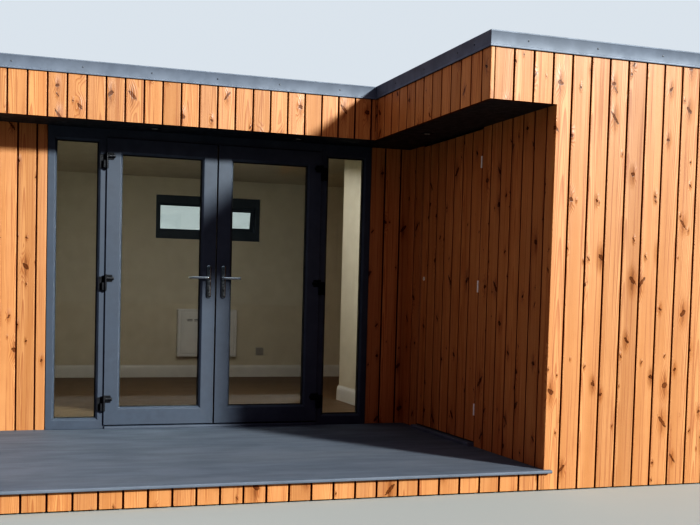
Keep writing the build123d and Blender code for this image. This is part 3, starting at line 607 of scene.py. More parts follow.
def skinned(rings):
    """Rings of equal numbers of points in a row as one surface: four-sided faces run from each
    ring to the next, and the first and the last ring are closed."""
    index = np.arange(rings.shape[0] * rings.shape[1]).reshape(rings.shape[:2])
    step = np.roll(index, -1, 1)
    quads = np.stack([index[:-1], step[:-1], step[1:], index[1:]], -1).reshape(-1, 4).tolist()
    return rings.reshape(-1, 3), quads + [index[0].tolist(), index[-1].tolist()]


def turned_plate(centre, facing, sideways, half, radius, rows, points=40):
    """A plate pressed from sheet: a rounded rectangle, or a disc where the radius is half its
    size, drawn in by each row's inset at each row's height, and closed at both ends."""
    quarter = points // 4
    turn = np.linspace(0, np.pi / 2, quarter)
    facing, sideways = np.array(facing, float), np.array(sideways, float)
    upright = np.cross(facing, sideways)
    rings = []
    for inset, height in rows:
        r = max(radius - inset, 0.02)
        a, b = half[0] - inset - r, half[1] - inset - r
        u = np.concatenate([sx * a + r * np.cos(turn + k * np.pi / 2)
                            for k, sx in enumerate((1, -1, -1, 1))])
        v = np.concatenate([sy * b + r * np.sin(turn + k * np.pi / 2)
                            for k, sy in enumerate((1, 1, -1, -1))])
        middle = np.array(centre, float)
        rings.append(middle + u[:, None] * sideways + v[:, None] * upright + height * facing)
    return skinned(np.stack(rings))


def disc(centre, facing, sideways, radius, rows, points=24):
    """A turned plate that is round."""
    return turned_plate(centre, facing, sideways, (radius, radius), radius, rows, points)


lens = [(0, 0.2), (0, 1.0), (4, 1.7), (14, 2.3), (25, 2.5)]
lenses = [disc((*middle, soffit), DOWN, RIGHTWARDS, 29, lens, 40)
          for middle in ((-1915.0, 1757.0), (-913.0, 1757.0), (-206.0, 1182.0))]
make_piece("downlight_lenses", joined(*lenses), lens_painted_glint)


# Roof membrane and edge trim
# One sheet of black rubber laid over the deck and up the kerb. Lengths of coated steel are
# folded over the kerb, mitred at the corners and fixed through the face with capped screws.


def moulding(start, end, outwards, outline):
    """A closed outline of reaches and heights carried straight from one end to the other."""
    outline = np.array(outline, float)
    section = outline[:, :1] * np.array(outwards, float) + outline[:, 1:] * np.array([0, 0, 1.0])
    run = np.linspace(0.0, 1.0, 4)[:, None, None]
    ends = np.array(start, float) * (1 - run) + np.array(end, float) * run
    return skinned(ends + section[None])


membrane = coated("rubber_membrane", (0.030, 0.032, 0.035), (0.024, 0.025, 0.028),
                  (0.10, 0.095, 0.085, 0.4), (0.82, 0.85), 0.7, 0.0004, Specular_IOR_Level=0.2)
dress(membrane, "roof_deck", "roof_kerb")
x, y, z = limits("roof_deck")
lap = [(0, -0.5), (0, 1.2), (3, 2.6), (30, 3.0), (77, 3.0), (80, 2.2), (82, -0.5)]
KERB = 76
laps = [moulding((px, (NOOK_Y if px < NOOK_X else 0) + KERB, z[1]), (px, y[1] - KERB, z[1]),
                 RIGHTWARDS, lap) for px in (-2250, -1250, -250, 750)]
make_piece("membrane_laps", joined(*laps), membrane)

trim_steel = coated("trim_steel", (0.150, 0.177, 0.216), (0.118, 0.141, 0.174),
                    (0.22, 0.24, 0.26, 0.20), (0.50, 0.58), 1.3, 0.0001, Metallic=0.1,
                    Specular_IOR_Level=0.3)


def roof_corners(outset):
    """Corners of the roof's edge in plan, moved outwards by a distance."""
    left, right = LEFT - outset, RIGHT + outset
    front, rear = -outset, REAR + outset
    inner_x, inner_y = NOOK_X - outset, NOOK_Y - outset
    return np.array([(inner_x, front), (right, front), (right, rear), (left, rear),
                     (left, inner_y), (inner_x, inner_y)])


def folded_trim(profile, lengths):
    """A closed outline of outsets and heights carried along each side of the roof: at a side's
    two ends every point keeps its outset from both walls, which cuts the mitre."""
    corners = np.stack([roof_corners(outset) for outset, _ in profile])
    heights = np.array([height for _, height in profile])
    parts = []
    for side in range(6):
        a, b = corners[:, side], corners[:, (side + 1) % 6]
        way = (b[0] - a[0]) / np.linalg.norm(b[0] - a[0])
        run = np.linspace(0.0, 1.0, lengths)[:, None, None]
        plan = (a + way * 0.5) * (1 - run) + (b - way * 0.5) * run
        rise = np.broadcast_to(heights[None, :, None], (*plan.shape[:2], 1))
        parts.append(skinned(np.concatenate([plan, rise], 2)))
    return joined(*parts)


LEFT, RIGHT = limits("left_cladding")[0][0], limits("right_cladding")[0][1]
REAR = limits("rear_cladding")[1][1]
x, y, z = limits("roof_trim")
foot, top = z
bend = np.linspace(0, np.pi / 2, 5)
OUT, FOLD, FACE = 8.0, 3.0, 5.6  # how far the trim stands out, its fold's radius, its face
outer = [(OUT - FOLD + FOLD * math.cos(t), top - FOLD + FOLD * math.sin(t)) for t in bend]
profile = [(6.6, foot), (7.6, foot + 0.3), (OUT, foot + 1.4), (OUT, foot + 9),
           (7.2, foot + 11.5), (FACE, foot + 13), (FACE, top - 12), (7.2, top - 9), (OUT, top - 6)]
profile += outer + [(-60, top), (-62, top - 1.2), (-60, top - 2.6), (4.0, top - 2.6),
                    (4.6, top - 4), (4.6, foot + 1)]
make_piece("edge_trim", folded_trim(profile, 5), trim_steel, "roof_trim")

screw_dark = coated("screw_caps", (0.045, 0.055, 0.070), (0.03, 0.036, 0.046),
                    (0.2, 0.2, 0.2, 0.2), (0.35, 0.5), 20.0)
cap = [(0, -0.5), (0, 0.2), (0.8, 0.7), (1.8, 0.9), (2.2, 2.0), (3.0, 2.3), (4.4, 2.35)]
HIGH, APART = 2457, 440
rows_of_screws = (
    ([(px, NOOK_Y - FACE, HIGH) for px in (-2842, -2407, -1972, -1538, -1113, -683)],
     FORWARDS, RIGHTWARDS),
    ([(NOOK_X - FACE, py, HIGH + 3) for py in (181, 378, 814, 1243)], LEFTWARDS, FORWARDS),
    ([(px, -FACE, HIGH + 1) for px in (-190, 245, 675, 1105, 1390)], FORWARDS, RIGHTWARDS),
    ([(RIGHT + FACE, py, HIGH) for py in np.arange(260, REAR, APART)], RIGHTWARDS, BACKWARDS),
    ([(LEFT - FACE, py, HIGH) for py in np.arange(1750, REAR, APART)], LEFTWARDS, FORWARDS),
    ([(px, REAR + FACE, HIGH) for px in np.arange(LEFT + 200, RIGHT, APART)], BACKWARDS, LEFTWARDS),
)
screws = [disc(place, facing, sideways, 5.5, cap)
          for places, facing, sideways in rows_of_screws for place in places]
make_piece("trim_screws", joined(*screws), screw_dark)


# Sidelights and door frame
# Extruded anthracite sections, welded at the mitres, with a fine foil grain. A bevelled bead
# holds each sealed unit against a black rubber gasket; the door hangs on the inner posts.


def foiled(name, pale, dark):
    """Foiled plastic: a fine long grain in the bump and a low even sheen."""
    material, tree, shader = new_finish(name, Coat_Weight=0.04, Coat_Roughness=0.3)
    cloud = mottled(tree, 1.5)
    colour = tinted(cloud["Cloud"], pale, dark)
    colour = tinted(times(cloud["Blotches"], 0.12), colour, (0.10, 0.10, 0.11))
    feed(shader, Base_Color=colour, Roughness=uneven(cloud, (0.40, 0.52)))
    fibre = noise(stretched(object_place(tree), (900.0, 900.0, 40.0)), 1.0, 2.0)
    raised(shader, fibre, 0.0002, 0.6)
    return material


def clouded(name, pale, dark, scale, rough=None, **constants):
    """Two tones in clouds, with a sheen that changes with them where rough is given."""
    material, tree, shader = new_finish(name, **constants)
    cloud = mottled(tree, scale)
    feed(shader, Base_Color=tinted(cloud["Cloud"], pale, dark))
    if rough:
        feed(shader, Roughness=uneven(cloud, rough))
    return material


anthracite = foiled("anthracite_frame", (0.062, 0.078, 0.102), (0.050, 0.063, 0.084))
# The same black serves for real rubber and as painted shade on the plates that stand for holes.
rubber_and_hole_shade = clouded("black_rubber_and_hole_shade", (0.010, 0.010, 0.010), (0.018, 0.018, 0.018), 12.0,
                 Roughness=0.75)


# The rectangles that the rows of a section name: a frame's outline, its opening, and the
# outline of a leaf's body, which steps in behind the flange.
OUTLINE, OPENING, BODY = 0, 1, 2


def arris(rect, depth, into, radius=2.6):
    """A rounded edge of a frame section as rows of rectangle, inset and depth: a quarter
    circle from the side to the front where into is 1, and from the back to the side at -1."""
    rows = [(rect, radius * (1 - math.cos(a)), depth + into * radius * (1 - math.sin(a)))
            for a in np.linspace(0, np.pi / 2, 4)]
    return rows[::into]


def welded_frame(rects, profile, weld=0.8, sink=0.45):
    """A closed section carried round a rectangle: each row keeps its inset from the rectangle
    it names, so members of different widths meet in true mitres, and at each mitre the
    section is drawn in by a few tenths, as the cleaned weld line of a real corner is."""
    profile = np.array(profile, float)
    rects = np.array(rects, float)[profile[:, 0].astype(int)]
    inset, depth = profile[:, 1], profile[:, 2]
    middle = depth.mean()
    ways = [((0, -1), (1, 0)), ((1, 0), (0, 1)), ((0, 1), (-1, 0)), ((-1, 0), (0, -1))]
    sides = [(0, 2, 1, 1), (1, 2, -1, 1), (1, 3, -1, -1), (0, 3, 1, -1)]
    sections = []
    for (coming, going), (cx, cz, sx, sz) in zip(ways, sides):
        px, pz = rects[:, cx] + sx * inset, rects[:, cz] + sz * inset
        centre = np.array([px.mean(), pz.mean()])
        plain = np.stack([px, depth, pz], 1)
        size = max(np.ptp(px), np.ptp(depth), 1.0)
        pull = 1 - 2 * sink / size
        sunk = np.stack([centre[0] + (px - centre[0]) * pull, middle + (depth - middle) * pull,
                         centre[1] + (pz - centre[1]) * pull], 1)
        coming, going = np.array([coming[0], 0, coming[1]]), np.array([going[0], 0, going[1]])
        sections += [plain - (weld + 1.6) * coming, plain - weld * coming, sunk,
                     plain + weld * going, plain + (weld + 1.6) * going]
    place = np.stack(sections)
    n, ring = place.shape[:2]
    index = np.arange(n * ring).reshape(n, ring)
    following = np.roll(index, -1, 0)
    quads = np.stack([index, np.roll(index, -1, 1), np.roll(following, -1, 1), following], -1)
    return place.reshape(-1, 3), quads.reshape(-1, 4).tolist()


def beaded(front, back, bead, glass_at, glass, seat, flange=0):
    """The section of a glazed member: rounded outer edges, a bevelled bead on both faces and
    the seat of the sealed unit. Behind a flange, where one is given, the body steps in."""
    behind = BODY if flange else OUTLINE
    lip = [(-bead - 2.5, 0), (-bead - 1.5, 0), (-bead, 0.5), (-bead + 1, 1.4),
           (-4.2, bead - 4.4), (-3.2, bead - 3.5), (-1.2, bead - 1.2), (0, bead + 2)]
    rows = arris(OUTLINE, front, 1) + [(OUTLINE, 3.6, front)]
    rows += [(OPENING, inset, front + depth) for inset, depth in lip]
    rows += [(OPENING, inset, glass_at) for inset in (0, -seat)]
    rows += [(OPENING, inset, glass_at + glass) for inset in (-seat, 0)]
    rows += [(OPENING, inset, back - depth) for inset, depth in lip[::-1]]
    rows += [(behind, 3.6, back)] + arris(behind, back, -1)
    if flange:
        step = front + flange
        rows += [(behind, 0, step), (OUTLINE, 2.0, step), (OUTLINE, 0, step - 1.5)]
    return rows


def gasket(glass_at, outwards=1):
    """A soft lip between bead and glass, wedge-shaped, a few millimetres wide."""
    wedge = ((-0.5, 0), (3.6, 0), (3.9, 1.2), (2.2, 3.2), (0.4, 4.6), (-0.5, 4.6))
    lip = glass_at - outwards * 0.2
    return [(OPENING, inset, lip - outwards * depth) for inset, depth in wedge]


def grid(rows, columns):
    """The numbers of a grid's points, and the four-sided faces between them."""
    index = np.arange(rows * columns).reshape(rows, columns)
    quads = [index[:-1, :-1], index[:-1, 1:], index[1:, 1:], index[1:, :-1]]
    return index, np.stack(quads, -1).reshape(-1, 4)


def sheet_of_glass(x, z, front, back, bow, seed):
    """A pane as two grids over width and height joined round the edge. Both swell as a sealed
    unit's panes do, by the bow times one less the square of the way across and one less the
    square of the way up, and a slow ripple of two sines differs from pane to pane."""
    s, t = np.meshgrid(np.linspace(-1, 1, 11), np.linspace(-1, 1, 17))
    ripple = 0.12 * np.sin(2.1 * s + seed) * np.sin(2.7 * t + 2 * seed)
    swell = bow * (1 - s**2) * (1 - t**2) + ripple
    px = (x[0] + x[1]) / 2 + s * (x[1] - x[0]) / 2
    pz = (z[0] + z[1]) / 2 + t * (z[1] - z[0]) / 2
    face = np.stack([px, front + swell, pz], -1)
    rear = np.stack([px, back + swell, pz], -1)
    index, quads = grid(*s.shape)
    rim = np.concatenate([index[0, :-1], index[:-1, -1], index[-1, :0:-1], index[:0:-1, 0]])
    after = np.roll(rim, -1)
    total = s.size
    edge = np.stack([rim, rim + total, after + total, after], -1)
    faces = quads.tolist() + (quads[:, ::-1] + total).tolist() + edge.tolist()
    return np.concatenate([face.reshape(-1, 3), rear.reshape(-1, 3)]), faces


def window_glass():
    """Clear float glass with a trace of green; lamps' rays pass straight through, so that the
    room behind it is lit."""
    material, tree, shader = new_finish("window_glass", Transmission_Weight=1.0, Roughness=0.0,
                                        IOR=1.45)
    film = times(mottled(tree, 2.0)["Cloud"], 0.3)
    feed(shader, Base_Color=tinted(film, (0.94, 0.96, 0.94), (0.90, 0.92, 0.90)))
    through = add_node(tree, "BsdfTransparent", {"Color": (0.91, 0.93, 0.91)})
    ray = add_node(tree, "LightPath")
    either = worked("MAXIMUM", ray.outputs["Is Shadow Ray"], ray.outputs["Is Diffuse Ray"])
    chosen = add_node(tree, "MixShader", {0: either, 1: shader.outputs[0], 2: through.outputs[0]})
    tree.links.new(chosen.outputs[0], tree.nodes["Material Output"].inputs["Surface"])
    return material


glass_finish = window_glass()
SEAT, UNIT, SETBACK, BEAD, STOP = 8.0, 24.0, 20.0, 14, 14
HEAD, SILL = 68, 20
FINE_WELD = 0.3, 0.05


def glazing(rects, start, end, seed, seat=SEAT):
    """A sealed unit in its opening between two depths: two panes, the gaskets of both faces
    and the bar that holds the panes apart."""
    a, b, low, high = rects[OPENING]
    x, z = (a - seat + 1, b + seat - 1), (low - seat + 1, high + seat - 1)
    panes = joined(sheet_of_glass(x, z, start, start + 4, 0.5, seed),
                   sheet_of_glass(x, z, end - 4, end, -0.5, seed + 2))
    lips = joined(welded_frame(rects, gasket(start), *FINE_WELD),
                  welded_frame(rects, gasket(end, -1), *FINE_WELD))
    near, far, out = start + 4.2, end - 4.2, -seat + 1.5
    bar = [(OPENING, out, near), (OPENING, 1.0, near), (OPENING, 1.0, far), (OPENING, out, far)]
    return panes, lips, welded_frame(rects, bar, *FINE_WELD)


def glazed_pieces(names, unit, node, body="root"):
    """The panes, gaskets and spacer bars of sealed units as three pieces; the panes stand for
    the CAD's glass."""
    make_piece(names[0], unit[0], glass_finish, node, body)
    make_piece(names[1], unit[1], rubber_and_hole_shade, body=body)
    make_piece(names[2], unit[2], spacer, body=body)


spacer = clouded("spacer_bar", (0.45, 0.46, 0.47), (0.36, 0.37, 0.38), 6.0, (0.35, 0.55),
                 Metallic=0.9)

units = []
for name, members, seed in (("left", (58, 62, 75, 90), 1.0), ("right", (62, 58, 75, 90), 2.3)):
    x, y, z = limits(f"{name}_sidelight_frame")
    if name == "left":
        x = (x[0], x[1] - STOP)
        stop = (x[1] - 1, x[1] + STOP - 0.4)
    else:
        x = (x[0] + STOP, x[1])
        stop = (x[0] - STOP + 0.4, x[0] + 1)
    opening = (x[0] + members[0], x[1] - members[1], z[0] + members[2], z[1] - members[3])
    rects = [(*x, *z), opening]
    frame_part = welded_frame(rects, beaded(*y, BEAD, y[0] + SETBACK, UNIT, SEAT))
    low, high = z[0] + SILL, z[1] - HEAD
    strip = turned_plate((sum(stop) / 2, y[1] - 12, (low + high) / 2), BACKWARDS, RIGHTWARDS,
                         ((stop[1] - stop[0]) / 2, (high - low) / 2), 1.5,
                         [(1, 0), (0, 1), (0, 10.8), (1, 11.8)], 16)
    make_piece(f"{name}_sidelight_section", joined(frame_part, strip), anthracite,
               f"{name}_sidelight_frame")
    units.append(glazing(rects, y[0] + SETBACK + 0.6, y[0] + SETBACK + UNIT - 0.6, seed))
glazed_pieces(("sidelight_panes", "sidelight_gaskets", "sidelight_spacers"),
              [joined(*parts) for parts in zip(*units)], "sidelight_glass")

x, y, z = limits("door_frame")
depth = y[1] - limits("left_sidelight_frame")[1][0]
head = [(0, 0), (4, 0), (depth - 5, 0), (depth - 2.4, 0), (depth - 0.7, 0.7), (depth, 2.4),
        (depth, 5), (depth, HEAD - 2), (depth, HEAD), (0, HEAD)]
reach = y[1] - y[0]
rib = ((0, SILL), (2.6, SILL), (3.2, SILL - 1.1), (5.8, SILL - 1.1), (6.4, SILL))
ribs = [(start - step, rise) for start in range(66, 8, -7) for step, rise in rib]
ramp = [(0, 0), (reach, 0), (reach, 1), (reach, 12), (reach - 0.6, 13.6), (reach - 6, 19.2),
        (reach - 8, SILL), *ribs, (0, SILL)]
bars = joined(moulding((x[0], y[1], z[1] - HEAD), (x[1], y[1], z[1] - HEAD), FORWARDS, head),
              moulding((x[0], y[1], z[0]), (x[1], y[1], z[0]), FORWARDS, ramp))
make_piece("head_and_threshold", bars, anthracite, "door_frame")


# Double doors
# Two glazed leaves of the same section, deeper and wider than the sidelights', with a flange
# that laps the posts. The leaves weld, glaze and gasket as the fixed frames do.

LAP, MEETING, STILE, FOOT_RAIL = 13, 4, 106, 122
for side, name in ((-1, "left"), (1, "right")):
    x, y, z = limits(f"{name}_door_leaf")
    steps = (LAP, MEETING) if side < 0 else (MEETING, LAP)
    stepped = (x[0] + steps[0], x[1] - steps[1], z[0], z[1] - LAP)
    opening = (x[0] + STILE, x[1] - STILE, z[0] + FOOT_RAIL, z[1] - STILE)
    rects = [(*x, *z), opening, stepped]
    section = beaded(*y, BEAD, y[0] + SETBACK, UNIT, SEAT, flange=10)
    make_piece(f"{name}_leaf_section", welded_frame(rects, section), anthracite,
               f"{name}_door_leaf", f"{name}_door")
    unit = glazing(rects, y[0] + SETBACK + 0.6, y[0] + SETBACK + UNIT - 0.6, 3.1 + side)
    glazed_pieces([f"{name}_door_{part}" for part in ("panes", "gaskets", "spacer")], unit,
                  f"{name}_door_glass", f"{name}_door")


# Door handles
# Sprung levers cast in zinc and plated bright, on long plates with a keyhole below.
# The plates are screwed through the stile, and the lever turns on a square bar.


def plated(name, pale, dark):
    """Bright metal plate with finger marks: two tones and an uneven sheen."""
    return clouded(name, (pale,) * 3, (dark,) * 3, 8.0, (0.14, 0.28), Metallic=1.0)


# One plating in two materials: the levers painted pale as a painted reflection of bright sky, the
# plates painted dark as a painted reflection of the shaded porch.
lever_chrome_painted_sky = plated("lever_chrome_painted_sky", 0.78, 0.64)
plate_chrome_painted_dark = plated("plate_chrome_painted_dark", 0.44, 0.36)


def swept_bar(path, wide, high):
    """An oval bar along a flat path, closed at both ends: at each point of the path the oval's
    half width lies across it in plan and its half height is upright. The oval is a circle's
    cosine and sine raised to the power 0.75, so it is a little square."""
    path = np.array(path, float)
    way = np.gradient(path, axis=0)
    way /= np.linalg.norm(way, axis=1, keepdims=True)
    across = np.stack([-way[:, 1], way[:, 0], np.zeros(len(way))], 1)
    turn = np.linspace(0, 2 * np.pi, 20, endpoint=False)
    c, s = np.cos(turn), np.sin(turn)
    oval = np.stack([np.sign(c) * np.abs(c) ** 0.75, np.sign(s) * np.abs(s) ** 0.75], 1)
    out = across[:, None, :] * (oval[:, 0] * np.asarray(wide)[:, None])[..., None]
    up = np.array([0, 0, 1.0]) * (oval[:, 1] * np.asarray(high)[:, None])[..., None]
    return skinned(path[:, None, :] + out + up)


for side, name in ((-1, "left"), (1, "right")):
    x, y, z = limits(f"{name}_door_plates")
    leaf_y = limits(f"{name}_door_leaf")[1]
    lever_z = sum(limits(f"{name}_door_lever")[2]) / 2
    middle_x = (x[0] + x[1]) / 2
    plates, keys, levers = [], [], []
    for face, out in ((leaf_y[0], FORWARDS), (leaf_y[1], BACKWARDS)):
        sign = out[1]
        rows = [(1, 0), (0, 0.8), (0, 4.2), (1.0, 6.4), (3.0, 7.8), (6.5, 8.6), (12, 9.0)]
        plates.append(turned_plate((middle_x, face, (z[0] + z[1]) / 2), out, RIGHTWARDS,
                                   ((x[1] - x[0]) / 2, (z[1] - z[0]) / 2), 15, rows, 48))
        plates.append(disc((middle_x, face + sign * 8.2, lever_z), out, RIGHTWARDS, 13,
                           [(0, 0), (0, 1.0), (1.2, 1.8), (4, 1.8)], 32))
        # The keyhole is a black plate: painted shade in place of the opening.
        keys.append(turned_plate((middle_x, face + sign * 8.7, lever_z - 88), out, RIGHTWARDS,
                                 (5.2, 9), 5.2, [(0, 0), (0, 1.1), (1, 1.3), (3.5, 1.3)], 24))
        for up in (62, -126):
            keys.append(disc((middle_x, face + sign * 8.4, lever_z + up), out, RIGHTWARDS, 3.2,
                             [(0, 0), (0, 0.9), (0.8, 1.2), (2.4, 1.1)], 16))
        bend = np.linspace(0, np.pi / 2, 7)
        run = 13.0
        neck = [(0, 10, 0), (0, 14, 0)]
        elbow = [(run * (1 - math.cos(t)), 13.6 + run * math.sin(t), 0) for t in bend]
        grip = [(s, 26.6, 0) for s in (*np.linspace(20, 118, 8), 121, 123, 124.4, 125)]
        path = np.array(neck + elbow + grip, float) * (side, sign, 1)
        size = [8.0, 8.0, *np.linspace(8.0, 6.4, 7), *np.linspace(6.4, 5.2, 8), 4.8, 4.0, 2.6, 0.6]
        tall = [8.0, 8.0, *np.linspace(8.0, 8.6, 7), *np.linspace(8.6, 8.0, 8), 7.2, 5.8, 3.6, 0.9]
        levers.append(swept_bar(path + (middle_x, face, lever_z), size, tall))
        levers.append(disc((middle_x, face + sign * 9.8, lever_z), out, RIGHTWARDS, 10.4,
                           [(0, 0), (0, 3.4), (1.2, 4.4), (3.5, 4.6)], 32))
    spindle = turned_plate((middle_x, leaf_y[0] - 10, lever_z), BACKWARDS, RIGHTWARDS, (4, 4), 0.6,
                           [(0, 0), (0, leaf_y[1] - leaf_y[0] + 20)], 16)
    make_piece(f"{name}_handle_plates", joined(*plates), plate_chrome_painted_dark,
               f"{name}_door_plates", f"{name}_door")
    make_piece(f"{name}_keyholes", joined(*keys), rubber_and_hole_shade, body=f"{name}_door")
    make_piece(f"{name}_lever_handle", joined(*levers, spindle), lever_chrome_painted_sky,
               f"{name}_door_lever", f"{name}_lever")

hinge_black = coated("hinge_black", (0.014, 0.015, 0.018), (0.009, 0.009, 0.011),
                     (0.05, 0.05, 0.05, 0.2), (0.34, 0.44), 14.0, Specular_IOR_Level=0.3)
dress(hinge_black, "post_hinges", "left_door_hinges", "right_door_hinges")
DOME = [(0, 0), (0, 0.8), (0.8, 2.0), (2.6, 3.0), (5.5, 3.5)]
SCREW = [(0, -0.2), (0, 0.3), (0.7, 0.9), (2.2, 1.1), (2.6, 0.6), (3.4, 0.6)]
PIN, HINGE_IN = 9, 150
fixed = []
for side, name in ((-1, "left"), (1, "right")):
    x, y, z = limits(f"{name}_door_hinges")
    pin_x = x[0] + PIN if side < 0 else x[1] - PIN
    plate_y = limits("left_sidelight_frame")[1][0] - 4
    flag_y = limits(f"{name}_door_leaf")[1][0] - 4
    foot, top = limits(f"{name}_door_leaf")[2]
    moving = []
    for up in (foot + HINGE_IN, (foot + top) / 2, top - HINGE_IN):
        moving.append(disc((pin_x, y[0] + PIN, up + 50.5), UP, RIGHTWARDS, 8.8, DOME))
        fixed.append(disc((pin_x, y[0] + PIN, up - 52.5), DOWN, RIGHTWARDS, 8.8, DOME))
        run = np.concatenate([[6.0], np.linspace(12, 50, 6), [53, 55, 56.2, 57]])
        along = np.stack([pin_x - side * run, np.full(11, flag_y - 3.0), np.full(11, up + 27.0)], 1)
        moving.append(swept_bar(along, [9] * 7 + [8.4, 6.6, 4.2, 0.8],
                                [11.5] * 7 + [10.8, 8.6, 5.6, 1.0]))
        for pz in (-38, -14, 24):
            fixed.append(disc((pin_x + side * 34, plate_y, up + pz), FORWARDS, RIGHTWARDS, 4.2,
                              SCREW, 16))
    make_piece(f"{name}_hinge_caps", joined(*moving), hinge_black,
               body=f"{name}_door")
make_piece("post_hinge_screws", joined(*fixed), hinge_black)


# Store door
# The wall's own boards on a framed core, flush with the wall, so that only its gap, three
# steel butt hinges, a round lock and a dark sill on the deck give it away.

x, y, z = limits("store_door_cladding")
rows = laid(*y, 942, *z, ("gap", "gap"))
leaf = board_surface(rows, (0, 0, 0), *LEFT_FACE, 22)
board_piece("store_door_boards", "store_door_cladding", leaf, body="store_door")
core = rough_timber("door_core_timber", (0.42, 0.25, 0.11), (0.25, 0.13, 0.05), Roughness=0.7)
dress(core, "store_door_core")

# The steel is near white with little metal in it: a painted sheen in place of the bright
# reflections its hinges and lock catch.
steel_painted_sheen, tree, shader = new_finish("brushed_steel_painted_sheen", Metallic=0.25)
hair = noise(stretched(object_place(tree), (60.0, 60.0, 1800.0)), 1.0, 2.0)
feed(shader, Base_Color=tinted(hair, (0.86, 0.84, 0.79), (0.70, 0.68, 0.64)),
     Roughness=uneven(mottled(tree, 10.0), (0.3, 0.5)))
raised(shader, hair, 0.0001, 0.4)
dress(steel_painted_sheen, "store_post_hinges", "store_door_hinges", "store_door_lock")
dress(deck_coat, "store_sill")
x, y, z = limits("store_door_lock")
HOLE = [(0, -0.2), (0, 0.3), (0.3, 0.4)]
# The key slot is a black plate: painted shade in place of the opening.
key_slot = turned_plate((x[0], sum(y) / 2, sum(z) / 2), LEFTWARDS, FORWARDS, (1.3, 4.6), 1.3,
                        HOLE, 16)
make_piece("store_key_slot", key_slot, rubber_and_hole_shade, body="store_door")


# Rear window
# The same foiled section, thick above and below, with a fixed light on the left and a
# top-hung sash on the right that stands ajar on its stay.

x, y, z = limits("rear_window_frame")
JAMB, RAIL, POST, SASH, DEPTH = 48.0, 100.0, 50.0, 480.0, 70.0
faces = (y[0], y[0] + DEPTH)
light_z = (z[0] + RAIL, z[1] - RAIL)
sash_x = (x[1] - JAMB - SASH, x[1] - JAMB)
fixed_x = (x[0] + JAMB, sash_x[0] - POST)
middle_post = fixed_x[1] + POST / 2
fixed_rects = [(x[0], middle_post, *z), (*fixed_x, *light_z)]
hung_rects = [(middle_post, x[1], *z), (*sash_x, *light_z)]
fixed_part = welded_frame(fixed_rects, beaded(*faces, BEAD, faces[0] + 25, 20, 6))
edge = arris(OUTLINE, faces[0], 1) + [(OUTLINE, 3.6, faces[0])]
edge += [(OPENING, inset, faces[0] + depth)
         for inset, depth in ((-5, 0), (-3.4, 0), (-1, 1.0), (0, 3.4), (0, 6))]
edge += [(OPENING, inset, faces[1] - depth)
         for inset, depth in ((0, 4), (0, 2), (-2, 0), (-4, 0))]
edge += [(OUTLINE, 3.6, faces[1])] + arris(OUTLINE, faces[1], -1)
hung_part = welded_frame(hung_rects, edge)
cill = [(0, 0), (48, 0), (49.6, 1.4), (49.7, 5), (49.7, 12), (48.6, 14.6), (46, 15.6),
        (10, 23.2), (4, 24), (0, 24)]
cill_part = moulding((x[0], faces[1], z[0]), (x[1], faces[1], z[0]), BACKWARDS, cill)
make_piece("rear_frame_section", joined(fixed_part, hung_part, cill_part), anthracite,
           "rear_window_frame")


def swung(surface, hinge_y, hinge_z, degrees):
    """A surface turned about a level line through a depth and a height, its foot outwards."""
    turn = math.radians(degrees)
    place = surface[0].copy()
    y, z = place[:, 1] - hinge_y, place[:, 2] - hinge_z
    place[:, 1] = hinge_y + y * math.cos(turn) - z * math.sin(turn)
    place[:, 2] = hinge_z + y * math.sin(turn) + z * math.cos(turn)
    return place, surface[1]


leaf = (sash_x[0] + 3, sash_x[1] - 3, light_z[0] + 3, light_z[1] - 0.3)
rects = [leaf, (leaf[0] + 32, leaf[1] - 32, leaf[2] + 32, leaf[3] - 32)]
hinge = (faces[1], leaf[3], 12.0)
sash_part = welded_frame(rects, beaded(faces[1] - 50, faces[1], 9, faces[1] - 35, 20, 6))
make_piece("rear_sash_section", swung(sash_part, *hinge), anthracite,
           "rear_window_sash")
fixed_unit = glazing(fixed_rects, faces[0] + 25.5, faces[0] + 44.5, 0.7, 6)
hung_unit = glazing(rects, faces[1] - 34.5, faces[1] - 15.5, 2.9, 6)
glazed_pieces(("rear_panes", "rear_gaskets", "rear_spacers"),
              [joined(still, swung(part, *hinge)) for still, part in zip(fixed_unit, hung_unit)],
              "rear_window_glass")


# Office floor
# Oak boards with small bevels, clicked together across the room in staggered lengths and
# laid loose over the insulated floor.

EDGES["vee"] = [(0, 17), (0, 12), (0, 6), (0, 2.2), (0.8, 0.8), (1.8, 0), (6, 0)]


def laid_planks(x, y, width, length):
    """Courses of planks across the room; each course starts a third of a length further on."""
    rows = []
    for i, start in enumerate(np.arange(y[0], y[1], width)):
        end = min(start + width, y[1])
        cuts = np.arange(x[0] - length + (i % 3) * length / 3, x[1], length)
        cuts = [x[0]] + [c for c in cuts if x[0] + 60 < c < x[1] - 60] + [x[1]]
        for a, b in zip(cuts, cuts[1:]):
            rows.append((start, end, a + 0.3, b - 0.3, "vee", "vee", (start + end) / 2 + a / 97))
    return rows


oak = rough_timber("oak_floor", (0.270, 0.190, 0.125), (0.165, 0.105, 0.064), True,
                   Roughness=0.45)
x, y, z = limits("office_floor")
planks = board_surface(laid_planks(x, y, 190, 1380), (0, 0, z[1]), BACKWARDS, RIGHTWARDS, DOWN, 41)
make_piece("floor_planks", planks, oak, "office_floor")


# Skirting
# Painted softwood with an ogee on its top edge, butted at the corners and pinned to the
# walls all round the room.

